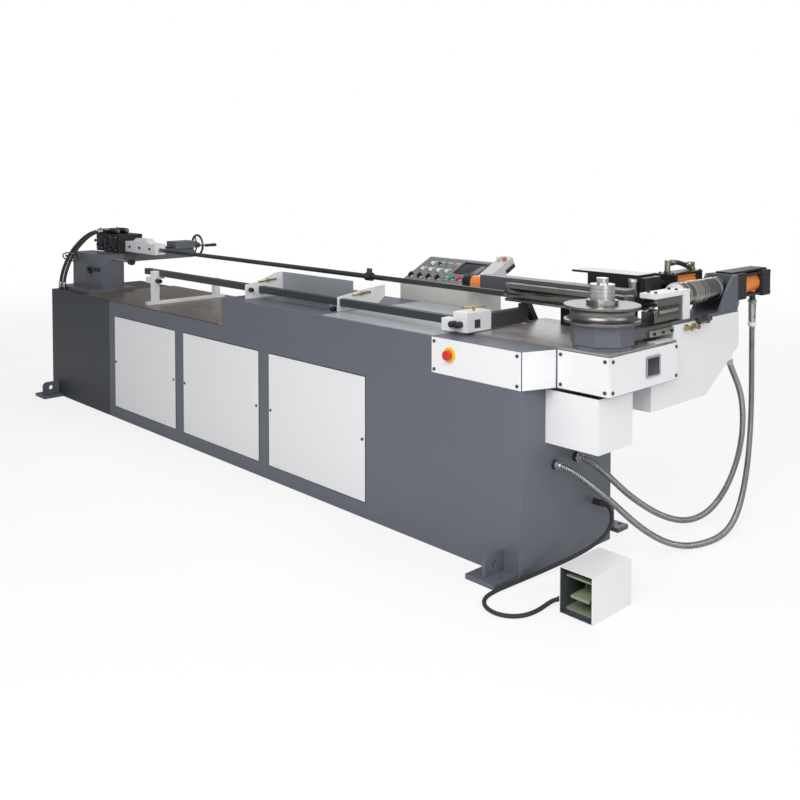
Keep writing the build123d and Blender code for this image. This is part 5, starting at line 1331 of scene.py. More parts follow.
    def ends(self, hose: Hose) -> list[Fitting]:
        """Lists the steel sleeves on a hose's ends, or the tapered boots on a cable's.

        Args:
            hose: The hose or cable.

        Returns:
            The fittings, none for a ribbed conduit.
        """
        if hose.rib_pitch:
            return []
        cable = hose.node == "foot_cable"
        form, finish = (self.boot_form, Paints.RUBBER) if cable else (self.sleeve_form, Paints.ZINC)
        profile = [(hose.diameter / 2 * share, height) for share, height in form]
        first, second, *_, before, last = hose.line()
        sides = (("start", hose.start_body, first, second), ("far", "bed", last, before))
        return [
            Fitting(f"{hose.name}_{end}_end", body, finish, hose.slot, [
                Lathe(tuple(spot), tuple(after - spot), profile, 24),
            ])
            for end, body, spot, after in sides
        ]

    def fittings(self) -> list[Fitting]:
        """Lists the conduits' couplings on the bed, the ram and the arm's housing.

        Returns:
            The fittings.
        """
        ferrule = (self.housing_port, self.housing_slope)
        return [
            Fitting("bed_conduit_nuts", "bed", Paints.ZINC, "machined_steel", [
                *(Hexagon(foot, RIGHTWARD, *self.bed_nut) for foot in self.bed_ports),
                *(Lathe(foot, RIGHTWARD, self.bed_collar, 28) for foot in self.bed_ports),
            ]),
            Fitting("ram_coupling", "arm", Paints.ZINC, "machined_steel", [
                Hexagon(self.ram_port, DOWN, *self.ram_nut), Lathe(self.ram_port, DOWN, self.ram_coupling, 32),
            ]),
            Fitting("ram_coupling_ring", "arm", Paints.WHITE_CAP, "white_paint", [
                Lathe(self.ram_port, DOWN, self.ram_ring, 32),
            ]),
            Fitting("housing_ferrule", "arm", Paints.ZINC, "machined_steel", [
                Hexagon(*ferrule, *self.bed_nut), Lathe(*ferrule, self.housing_collar, 28),
            ]),
        ]


@dataclass
class Bed(Assembly):
    """The bed, the deck and the tail cabinet, with their panels, plates and feet."""

    panel_start: float = -1.180
    panel_pitch: float = 0.833
    panel_count: int = 3
    panel_size: Pair = (0.740, 0.578)
    panel_base: float = 0.078
    seal_width: float = 0.004
    seal_depth: Pair = (BED_FRONT - 0.0012, BED_FRONT + 0.0004)
    seal_edge: float = 0.0003
    window_low: Point = (2.4295, 0.051, 0.785)
    window_high: Point = (2.4340, 0.152, 0.868)
    window_rim: float = 0.007
    window_edge: float = 0.001
    glass_thick: float = 0.0015
    glass_edge: float = 0.0004

    def dress(self) -> None:
        """Gives the solids their finishes and soft edges."""
        dress(Paints.SLATE, "bed_cabinet", "deck_frame", "anchor_feet")
        dress(Paints.CHARCOAL, "tail_cabinet", "panel_screws")
        dress(Paints.WHITE, "access_panels", "skirt_panels", "spindle_guard_box")
        dress(Paints.RED, "estop_button")
        dress(Paints.YELLOW, "estop_ring")
        dress(Paints.TANK, "oil_tank", "pump_unit")
        dress(Paints.ORANGE, "bend_cylinder")
        dress(Paints.DARK_STEEL, "bend_chain", "cord_glands")
        dress(Paints.STEEL, "spindle_bearings", "drive_sprocket", "idler_sprocket", "chain_yoke")
        dress(Paints.PLATES, "top_plates")
        soften(0.003, "bed_cabinet", "tail_cabinet", "deck_frame")
        soften(0.0015, "access_panels", "skirt_panels")

    def fittings(self) -> list[Fitting]:
        """Lists the dark seals round the access panels and the framed counter window in the end skirt.

        Returns:
            The fittings.
        """
        wide, tall = self.panel_size
        near, far = self.seal_depth
        out, base = self.seal_width, self.panel_base
        lefts = [self.panel_start + step * self.panel_pitch for step in range(self.panel_count)]
        seals = [
            Block((start[0], near, start[1]), (end[0], far, end[1]), self.seal_edge)
            for left in lefts
            for start, end in border((left - out, base - out), (left + wide + out, base + tall + out), out)
        ]
        left, front, low = self.window_low
        right, back, high = self.window_high
        rim = self.window_rim
        sides = border((front, low), (back, high), rim)
        strips = [Block((left, *start), (right, *end), self.window_edge) for start, end in sides]
        inside = (left + self.glass_thick, back - rim, high - rim)
        glass = Block((left, front + rim, low + rim), inside, self.glass_edge)
        return [
            Fitting("panel_seals", "bed", Paints.RUBBER, "black_rubber", seals),
            Fitting("counter_frame", "bed", Paints.GREY, "grey_plate", strips),
            Fitting("counter_glass", "bed", Paints.SCREEN, "panel_dark", [glass]),
        ]


@dataclass
class Head(Assembly):
    """The spindle, the bend die and the swing arm with its ram."""

    slideway: Band = Band((0.26, 0.255, 0.245), 0.112, 0.329, roughness=0.24, metallic=1.0, floor=0.9245)
    ram_barrel: Band = Band(ORANGE, 1.0005, 1.1625, roughness=0.24, floor=1.0205, ceiling=1.1035)
    joint_heights: tuple[float, ...] = (1.1065, 1.1230, 1.1400)
    joint_form: Profile = ((0.0470, 0.0), (0.0483, 0.0003), (0.0483, 0.0013), (0.0470, 0.0016), (0.0470, 0.0))
    gib: Block = Block((2.3803, 0.146, 0.927), (2.3900, 0.327, 0.953), 0.002)
    gib_screws: tuple[Point, ...] = ((2.3900, 0.172, 0.940), (2.3900, 0.238, 0.940), (2.3900, 0.304, 0.940))
    gib_screw: float = 0.0065
    strip: Block = Block((2.384, 0.130, 0.9078), (2.424, 0.268, 0.9130), 0.001)
    strip_screws: tuple[Point, ...] = ((2.404, 0.150, 0.9130), (2.404, 0.248, 0.9130))
    strip_screw: Profile = ((0.0055, 0.0), (0.0055, 0.0012), (0.0040, 0.0018), (0.0, 0.0018))
    ports: tuple[Point, ...] = ((2.383, 0.428, 0.936), (2.383, 0.486, 0.936))
    port_nut: Pair = (0.026, 0.011)
    port_form: Profile = ((0.009, 0.011), (0.009, 0.023), (0.011, 0.024), (0.011, 0.033), (0.0, 0.035))
    bridge: Rod = Rod((2.405, 0.408, 0.936), BACKWARD, 0.0075, 0.100)
    union: tuple[Form, ...] = (
        Rod((2.3985, 0.512, 0.957), BACKWARD, 0.0150, 0.060),
        Hexagon((2.3985, 0.572, 0.957), BACKWARD, 0.034, 0.018),
        Rod((2.3985, 0.590, 0.957), BACKWARD, 0.011, 0.022),
    )
    pipe:tuple[Point, ...] = (
        (2.335, 0.985, 1.003), (2.335, 0.985, 0.985), (2.335, 0.978, 0.966), (2.335, 0.955, 0.952),
        (2.335, 0.925, 0.950), (2.335, 0.903, 0.950),
    )
    pipe_radius: float = 0.008
    ram_end: Point = (BEND_AXIS[0], 1.243, 1.062)
    tie_offset: float = 0.048
    tie_nut: Pair = (0.019, 0.010)
    tie_stud: Pair = (0.006, 0.015)

    def dress(self) -> None:
        """Gives the solids their finishes and soft edges."""
        dress(Paints.ARM, "spindle_housing")
        dress(Banded("swing_arm_paint", ARM_SLATE, (self.slideway,), 0.32), "swing_arm")
        dress(Paints.WHITE, "arm_housing")
        dress(Paints.TURNED, "bend_die")
        dress(Paints.SPINDLE, "main_spindle")
        dress(Banded("clamp_ram_paint", BLACK, (self.ram_barrel,)), "clamp_cylinder")
        soften(0.002, "swing_arm", "bend_die")

    def fittings(self) -> list[Fitting]:
        """Lists the spindle's joint lines, the gib, the wear strip, the ports, the pipe and the ram's nuts.

        Returns:
            The fittings.
        """
        pipe = smooth_line(self.pipe)
        return [
            Fitting("spindle_joints", "arm", Paints.DARK_STEEL, "machined_steel", [
                Lathe((*BEND_AXIS, height), UP, self.joint_form, 64) for height in self.joint_heights
            ]),
            Fitting("arm_gib", "arm", Paints.STEEL, "machined_steel", [self.gib]),
            Fitting("arm_gib_screws", "arm", Paints.BLACK, "screw_black", [
                CapScrew(foot, RIGHTWARD, self.gib_screw) for foot in self.gib_screws
            ]),
            Fitting("head_strip", "bed", Paints.CREAM, "cream_paint", [
                self.strip, *(Lathe(foot, UP, self.strip_screw, 20) for foot in self.strip_screws),
            ]),
            Fitting("arm_ports", "arm", Paints.BRASS, "machined_steel", [
                *(Hexagon(foot, RIGHTWARD, *self.port_nut) for foot in self.ports),
                *(Lathe(foot, RIGHTWARD, self.port_form, 20) for foot in self.ports),
                self.bridge,
            ]),
            Fitting("arm_union", "arm", Paints.DARK_STEEL, "machined_steel", self.union),
            Fitting("return_pipe", "arm", Paints.CONDUIT, "machined_steel", [
                Tube(pipe, [self.pipe_radius] * len(pipe), 18),
            ]),
            Fitting("clamp_ram_nuts", "arm", Paints.BLACK, "screw_black", tie_nuts(
                self.ram_end, self.tie_offset, self.tie_nut, self.tie_stud,
            )),
        ]


@dataclass
class Clamp(Assembly):
    """The clamp slide with its die and the coupling to the ram."""

    shaft: Band = Band((0.30, 0.295, 0.29), 0.4705, 1.3, roughness=0.17, metallic=1.0)
    screws: tuple[Point, ...] = (
        (2.326, 0.232, 1.096), (2.360, 0.232, 1.096), (2.326, 0.392, 1.096), (2.360, 0.392, 1.096),
    )
    screw: float = 0.0065
    # Thin dark strip on the die's side: painted shade that stands for the shade inside a groove there.
    jaw_groove_shade: Block = Block((2.3745, 0.226, 0.998), (2.3764, 0.392, 1.042), 0.0006)
    jaw_bar: Rod = Rod((2.371, 0.236, 1.019), BACKWARD, 0.0085, 0.146)
    coupling_z: float = 1.062
    coupling_radius: float = 0.050
    collar_edge: float = 0.001
    collars: tuple[Point, ...] = (
        (0.4705, 0.022, 0.0540), (0.515, 0.012, 0.0532), (0.562, 0.070, 0.0536), (0.646, 0.008, 0.0524),
        (0.668, 0.008, 0.0524), (0.780, 0.014, 0.0532),
    )

    def dress(self) -> None:
        """Gives the solids their finishes and soft edges."""
        dress(Banded("clamp_slide_finish", WHITE, (self.shaft,), 0.36), "clamp_slide")
        dress(Paints.DIE_STEEL, "clamp_die")
        soften(0.002, "clamp_die")

    def collar(self, start: float, length: float, reach: float) -> Lathe:
        """Gives a collar on the coupling.

        Args:
            start: Where it starts along the coupling.
            length: Its length.
            reach: Its radius.

        Returns:
            The form.
        """
        root, edge = self.coupling_radius, self.collar_edge
        outer = ((reach - edge, 0.0), (reach, edge), (reach, length - edge), (reach - edge, length))
        form = ((root, 0.0), *outer, (root, length), (root, 0.0))
        return Lathe((BEND_AXIS[0], start, self.coupling_z), BACKWARD, form, 56)

    def fittings(self) -> list[Fitting]:
        """Lists the slide's screws, the dark strip of painted shade on the die's side that stands for a
        groove, the bar in that groove and the coupling's collars.

        Returns:
            The fittings.
        """
        return [
            Fitting("clamp_screws", "clamp", Paints.BLACK, "screw_black", [
                CapScrew(foot, UP, self.screw) for foot in self.screws
            ]),
            # The dark strip is painted shade of the groove on the die's side, not a real part.
            Fitting("jaw_groove_shade", "clamp", Paints.DARK_STEEL, "machined_steel", [self.jaw_groove_shade]),
            Fitting("jaw_bar", "clamp", Paints.STEEL, "machined_steel", [self.jaw_bar]),
            Fitting("coupling_collars", "clamp", Paints.STEEL, "machined_steel", [
                self.collar(*collar) for collar in self.collars
            ]),
        ]


@dataclass
class Pressure(Assembly):
    """The pressure slide with its top plate, its die and its two rams."""

    plate_top: Band = Band((0.60, 0.61, 0.62), 0.0, 2.0, roughness=0.3, floor=1.1446)
    ram_barrel: Band = Band(ORANGE, 0.6755, 0.8495, roughness=0.24, ceiling=1.1245)
    ram_elbows: Band = Band((0.50, 0.47, 0.40), 0.6, 1.0, roughness=0.25, metallic=1.0, floor=1.1255)
    boost_end: Band = Band(BLACK, 1.30, 1.3985, Axis.X)
    beam: Colour = (0.085, 0.09, 0.105)
    beam_back: Band = Band(BLACK, 0.2405, 1.2)
    boost_cap: Lathe = Lathe((1.386, 0.2025, 1.059), LEFTWARD, (
        (0.031, 0.0), (0.034, 0.001), (0.034, 0.010), (0.029, 0.012), (0.029, 0.026), (0.033, 0.028),
        (0.033, 0.040), (0.020, 0.046), (0.0, 0.046),
    ))
    stop_post: Lathe = Lathe((2.182, 0.342, 1.062), UP, (
        (0.021, 0.0), (0.021, 0.012), (0.017, 0.014), (0.017, 0.052), (0.020, 0.054), (0.020, 0.066),
        (0.018, 0.069), (0.0, 0.069),
    ))
    ram_end: Point = (2.162, 0.900, 1.085)
    tie_offset: float = 0.028
    tie_nut: Pair = (0.015, 0.009)
    tie_stud: Pair = (0.005, 0.013)
    elbows: tuple[Point, ...] = ((2.162, 0.6575, 1.1305), (2.162, 0.875, 1.1305))
    elbow_nut: Pair = (0.031, 0.012)
    cover: Block = Block((2.120, 0.638, 1.1248), (2.204, 0.902, 1.1305), 0.0015)
    cover_screws: tuple[Point, ...] = (
        (2.130, 0.648, 1.1305), (2.130, 0.892, 1.1305), (2.194, 0.648, 1.1305), (2.194, 0.892, 1.1305),
    )
    cover_screw: float = 0.005

    def dress(self) -> None:
        """Gives the solids their finishes and soft edges."""
        dress(Paints.BLACK, "pressure_base")
        dress(Paints.DIE_STEEL, "pressure_die")
        dress(Banded("top_plate_paint", BLACK, (self.plate_top,), 0.3), "pressure_top_plate")
        dress(Banded("pressure_ram_paint", BLACK, (self.ram_barrel, self.ram_elbows)), "pressure_cylinder")
        dress(Banded("boost_ram_paint", ORANGE, (self.boost_end,), 0.24), "boost_cylinder")
        dress(Banded("pressure_beam_paint", self.beam, (self.beam_back,), 0.26), "pressure_slide")
        soften(0.002, "pressure_die", "pressure_slide", "pressure_base")

    def fittings(self) -> list[Fitting]:
        """Lists the boost ram's cap, the stop post and the nuts and cover of the pressure ram.

        Returns:
            The fittings.
        """
        return [
            Fitting("boost_cap", "pressure", Paints.BLACK, "black_paint", [self.boost_cap]),
            Fitting("stop_post", "pressure", Paints.STEEL, "machined_steel", [self.stop_post]),
            Fitting("pressure_ram_nuts", "bed", Paints.BLACK, "screw_black", tie_nuts(
                self.ram_end, self.tie_offset, self.tie_nut, self.tie_stud,
            )),
            Fitting("elbow_nuts", "bed", Paints.BRASS, "machined_steel", [
                Hexagon(foot, UP, *self.elbow_nut) for foot in self.elbows
            ]),
            Fitting("pressure_ram_cover", "bed", Paints.BLACK, "black_paint", [
                self.cover, *(CapScrew(foot, UP, self.cover_screw) for foot in self.cover_screws),
            ]),
        ]


@dataclass
class Mandrel(Assembly):
    """The mandrel unit at the tail: bracket, cross beam, carriage, clevis, rod and crank wheel."""

    beam: Colour = (0.128, 0.135, 0.165)
    lock: tuple[Band, ...] = (
        Band(SILVER, -1.6468, -1.3, Axis.X, 0.14, 1.0, ceiling=0.999),
        Band(BLACK, -1.3932, -1.3, Axis.X, 0.4, 0.0, ceiling=0.999),
    )
    wheel_centre: Point = (-1.855, 0.680, 1.016)
    wheel_radius: float = 0.075
    rim: float = 0.0085
    hub_reach: float = 0.020
    hub_form: Profile = (
        (0.0, 0.0), (0.020, 0.0), (0.021, 0.002), (0.021, 0.030), (0.017, 0.036), (0.012, 0.040), (0.0, 0.040),
    )
    spoke_count: int = 3
    spoke_start: float = 0.015
    spoke_gap: float = 0.018
    spoke_radius: float = 0.0058
    pin: Pair = (0.006, 0.030)
    screw_start: float = 0.050
    thread_pitch: float = 0.008
    thread_form: Profile = ((0.0080, 0.0), (0.0098, 0.3), (0.0098, 0.6), (0.0080, 0.9))
    grip_start: float = 0.022
    grip_form: Profile = (
        (0.0, 0.0), (0.009, 0.0), (0.0115, 0.006), (0.0105, 0.030), (0.0125, 0.070), (0.0120, 0.090),
        (0.008, 0.098), (0.0, 0.098),
    )
    valve_plate: Block = Block((-2.096, -0.012, 1.1545), (-1.984, 0.150, 1.1605), 0.001)
    valve_screws: tuple[Point, ...] = (
        (-2.084, 0.002, 1.1605), (-2.084, 0.136, 1.1605), (-1.996, 0.002, 1.1605), (-1.996, 0.136, 1.1605),
    )
    valve_screw: float = 0.006
    coils: tuple[Point, ...] = ((-1.982, 0.034, 1.150), (-1.982, 0.104, 1.150))
    coil_form: Profile = (
        (0.016, 0.0), (0.0195, 0.002), (0.0195, 0.060), (0.0170, 0.063), (0.0170, 0.068), (0.0195, 0.071),
        (0.0195, 0.104), (0.011, 0.108), (0.0, 0.108),
    )
    coil_nuts: tuple[Point, ...] = ((-1.874, 0.034, 1.150), (-1.874, 0.104, 1.150))
    coil_nut: Pair = (0.022, 0.009)
    coil_studs: tuple[Point, ...] = ((-1.865, 0.034, 1.150), (-1.865, 0.104, 1.150))
    coil_stud: Pair = (0.005, 0.008)
    hose_ports: tuple[Point, ...] = ((-2.060, -0.0205, 1.142), (-2.015, -0.0205, 1.142))
    hose_nut: Pair = (0.030, 0.010)
    lever_start: Point = (-2.099, -0.006, 1.072)
    lever: Pair = (0.0055, 0.040)
    lever_knob: Profile = ((0.004, 0.035), (0.009, 0.039), (0.011, 0.046), (0.009, 0.053), (0.0, 0.057))
    port_plates: tuple[tuple[Pair, Pair], ...] = (
        ((-2.088, 1.018), (-1.990, 1.116)), ((-1.978, 1.030), (-1.902, 1.104)),
        ((-1.890, 1.012), (-1.782, 1.122)),
    )
    port_plate_depth: Pair = (-0.0265, -0.0195)
    port_plate_edge: float = 0.002
    port_face: float = -0.0262
    plug_nut: Pair = (0.020, 0.009)
    plug_face: float = -0.0350
    plug_stud: Pair = (0.0055, 0.006)
    port_screw: float = 0.0048
    plugs: tuple[Pair, ...] = (
        (-2.062, 1.050), (-2.016, 1.050), (-1.940, 1.067), (-1.862, 1.044), (-1.812, 1.044),
    )
    port_screws: tuple[Pair, ...] = (
        (-2.078, 1.106), (-2.000, 1.106), (-2.078, 1.028), (-2.000, 1.028),
        (-1.880, 1.112), (-1.792, 1.112), (-1.880, 1.022), (-1.792, 1.022),
    )
    crown: Plate = Plate(
        ((-1.690, 1.0845), (-1.640, 1.112), (-1.500, 1.112), (-1.440, 1.0845)), (0.046, 0.104), 0.002,
    )
    clevis_screws: tuple[Point, ...] = ((-1.700, 0.035, 1.050), (-1.560, 0.035, 1.050), (-1.420, 0.035, 1.050))
    clevis_screw: float = 0.008
    hose_guide: tuple[Form, ...] = (
        Ring((-2.0435, -0.248, 0.972), (0.45, -0.45, -0.77), 0.052, 0.0045),
        Rod((-2.0435, -0.194, 0.998), (0.0, -0.87, 0.15), 0.005, 0.014),
        Knob((-2.0935, -0.248, 0.972), (-1.0, 0.0, 0.25), 0.009, 0.022, 10),
    )
    post_latch: tuple[Form, ...] = (
        Block((-1.860, -0.2085, 0.890), (-1.700, -0.1945, 0.910), 0.003),
        Block((-1.856, -0.2125, 0.868), (-1.820, -0.1945, 0.893), 0.004),
        Rod((-1.840, -0.2085, 0.900), FRONTWARD, 0.012, 0.012),
    )

    def dress(self) -> None:
        """Gives the solids their finishes and soft edges."""
        dress(Paints.ARM, "tail_bracket")
        dress(Paints.BLACK, "mandrel_carriage")
        dress(Paints.WHITE, "mandrel_clevis")
        dress(Paints.DARK_STEEL, "mandrel_rod")
        dress(Banded("cross_beam_paint", self.beam, self.lock, 0.32), "cross_beam")
        soften(0.002, "mandrel_carriage", "mandrel_clevis", "cross_beam", "tail_bracket")

    def fittings(self) -> list[Fitting]:
        """Lists the unit's fittings."""
        return [*self.wheel(), *self.valve(), *self.carriage_face(), *self.tail()]

    def wheel(self) -> list[Fitting]:
        """Lists the crank wheel, with its threaded screw, and its handle.

        Returns:
            The fittings.
        """
        x, y, z = self.wheel_centre
        reach, pitch, inner = self.wheel_radius, self.thread_pitch, self.spoke_start
        turns = round((y - self.hub_reach - self.screw_start) / pitch)
        thread = [
            (radius, turn * pitch + share * pitch)
            for turn in range(turns) for radius, share in self.thread_form
        ]
        spoke = (self.spoke_radius, reach - self.spoke_gap)
        return [
            Fitting("crank_wheel", "handwheel", Paints.DARK_STEEL, "wheel_chrome", [
                Ring(self.wheel_centre, BACKWARD, reach, self.rim),
                Lathe((x, y - self.hub_reach, z), BACKWARD, self.hub_form, 32),
                *(
                    Rod((x + inner * across, y, z + inner * up), (across, 0.0, up), *spoke)
                    for across, up in circle(self.spoke_count)
                ),
                Rod((x + reach, y, z), BACKWARD, *self.pin),
                Lathe((x, self.screw_start, z), BACKWARD, [(0.0, 0.0), *thread, (0.0, turns * pitch)], 24),
            ], ("handwheel",)),
            Fitting("crank_grip", "handwheel", Paints.BLACK_PLASTIC, "selector_black", [
                Lathe((x + reach, y + self.grip_start, z), BACKWARD, self.grip_form, 28),
            ]),
        ]

    def valve(self) -> list[Fitting]:
        """Lists the parts of the valve on the carriage: cover plate, coils, nuts and lever.

        Returns:
            The fittings.
        """
        return [
            Fitting("valve_plate", "carriage", Paints.ZINC, "machined_steel", [self.valve_plate]),
            Fitting("valve_screws", "carriage", Paints.BLACK, "screw_black", [
                CapScrew(foot, UP, self.valve_screw) for foot in self.valve_screws
            ]),
            Fitting("valve_coils", "carriage", Paints.BLACK_PLASTIC, "selector_black", [
                Lathe(foot, RIGHTWARD, self.coil_form, 32) for foot in self.coils
            ]),
            Fitting("coil_nuts", "carriage", Paints.BRASS, "machined_steel", [
                *(Hexagon(foot, RIGHTWARD, *self.coil_nut) for foot in self.coil_nuts),
                *(Rod(foot, RIGHTWARD, *self.coil_stud) for foot in self.coil_studs),
                *(Hexagon(foot, FRONTWARD, *self.hose_nut) for foot in self.hose_ports),
            ]),
            Fitting("carriage_lever", "carriage", Paints.BLACK_PLASTIC, "selector_black", [
                Rod(self.lever_start, LEFTWARD, *self.lever),
                Lathe(self.lever_start, LEFTWARD, self.lever_knob, 24),
            ]),
        ]

    def carriage_face(self) -> list[Fitting]:
        """Lists the port plates on the carriage's front, with their plugs and screws.

        Returns:
            The fittings.
        """
        near, far = self.port_plate_depth
        return [
            Fitting("port_plates", "carriage", Paints.BLACK, "black_paint", [
                Block((low[0], near, low[1]), (high[0], far, high[1]), self.port_plate_edge)
                for low, high in self.port_plates
            ]),
            Fitting("port_plugs", "carriage", Paints.DARK_STEEL, "machined_steel", [
                *(Hexagon((x, self.port_face, z), FRONTWARD, *self.plug_nut) for x, z in self.plugs),
                *(Rod((x, self.plug_face, z), FRONTWARD, *self.plug_stud) for x, z in self.plugs),
            ]),
            Fitting("port_screws", "carriage", Paints.ZINC, "machined_steel", [
                CapScrew((x, self.port_face, z), FRONTWARD, self.port_screw) for x, z in self.port_screws
            ]),
        ]

    def tail(self) -> list[Fitting]:
        """Lists the clevis's crown and screws, the first hose's guide ring and the tail bracket's latch.

        Returns:
            The fittings.
        """
        return [
            Fitting("clevis_crown", "mandrel", Paints.WHITE, "white_paint", [self.crown]),
            Fitting("clevis_screws", "mandrel", Paints.BLACK, "screw_black", [
                CapScrew(foot, FRONTWARD, self.clevis_screw) for foot in self.clevis_screws
            ]),
            Fitting("hose_guide", "bed", Paints.DARK_STEEL, "machined_steel", self.hose_guide),
            Fitting("post_latch", "bed", Paints.BLACK, "screw_black", self.post_latch),
        ]


@dataclass
class Gauge(Assembly):
    """The length gauge: bar, stand, carriage and the tube rest that holds them."""

    carriage_bands: tuple[Band, ...] = (Band(BLACK, -0.30, -0.2462), Band(DARK, -0.0918, 0.2))
    stand_foot: Band = Band(BLACK, -0.8825, -0.80, Axis.X)
    rest_channel: Band = Band(LIGHT_GREY, 0.1865, 0.8615, Axis.X)
    knobs: tuple[Form, ...] = (
        Knob((1.689, -0.2462, 0.945), FRONTWARD, 0.0142, 0.036),
        Knob((1.721, -0.2462, 0.945), FRONTWARD, 0.0142, 0.036),
    )
    lever: tuple[Form, ...] = (
        Rod((1.722, -0.166, 0.995), UP, 0.006, 0.018),
        Rod((1.706, -0.216, 1.012), (0.30, 0.954, 0.0), 0.0058, 0.108),
    )
    rest_levers: tuple[Point, ...] = ((0.191, -0.202, 0.990), (0.873, -0.116, 0.975))
    rest_lever_axis: Point = (0.0, 0.998, 0.05)
    rest_lever: Pair = (0.0055, 0.118)
    hubs: tuple[Point, ...] = ((0.185, -0.144, 0.993), (0.867, -0.058, 0.978))
    hub_form: Profile = ((0.011, 0.0), (0.011, 0.009), (0.008, 0.013), (0.0, 0.013))
    rest_knobs: tuple[Form, ...] = (
        Knob((0.186, -0.262, 0.950), RIGHTWARD, 0.012, 0.032, 14),
        Knob((0.838, -0.198, 0.914), FRONTWARD, 0.012, 0.032, 14),
        Knob((-0.883, -0.2183, 0.900), RIGHTWARD, 0.0138, 0.053, 16),
    )

    def dress(self) -> None:
        """Gives the solids their finishes and soft edges."""
        dress(Paints.CHARCOAL, "gauge_bar")
        dress(Banded("gauge_carriage_paint", WHITE, self.carriage_bands), "gauge_carriage")
        dress(Banded("gauge_stand_paint", WHITE, (self.stand_foot,)), "gauge_support")
        dress(Banded("tube_rest_paint", WHITE, (self.rest_channel,)), "stock_tray")
        soften(0.002, "gauge_support", "gauge_carriage")

    def fittings(self) -> list[Fitting]:
        """Lists the knobs and levers of the gauge's carriage, the tube rest and the stand.

        Returns:
            The fittings.
        """
        return [
            Fitting("gauge_knobs", "gauge", Paints.BLACK_PLASTIC, "selector_black", self.knobs),
            Fitting("gauge_lever", "gauge", Paints.BRASS, "machined_steel", self.lever),
            Fitting("rest_levers", "bed", Paints.BRASS, "machined_steel", [
                *(Rod(foot, self.rest_lever_axis, *self.rest_lever) for foot in self.rest_levers),
                *(Lathe(foot, RIGHTWARD, self.hub_form, 24) for foot in self.hubs),
            ]),
            Fitting("rest_knobs", "bed", Paints.BLACK_PLASTIC, "selector_black", self.rest_knobs),
        ]


class Cap(Enum):
    """The colour of a lamp's cap."""

    WHITE = "white"
    CREAM = "cream"
    GREEN = "green"
    ROSE = "rose"
    DARK = "dark"


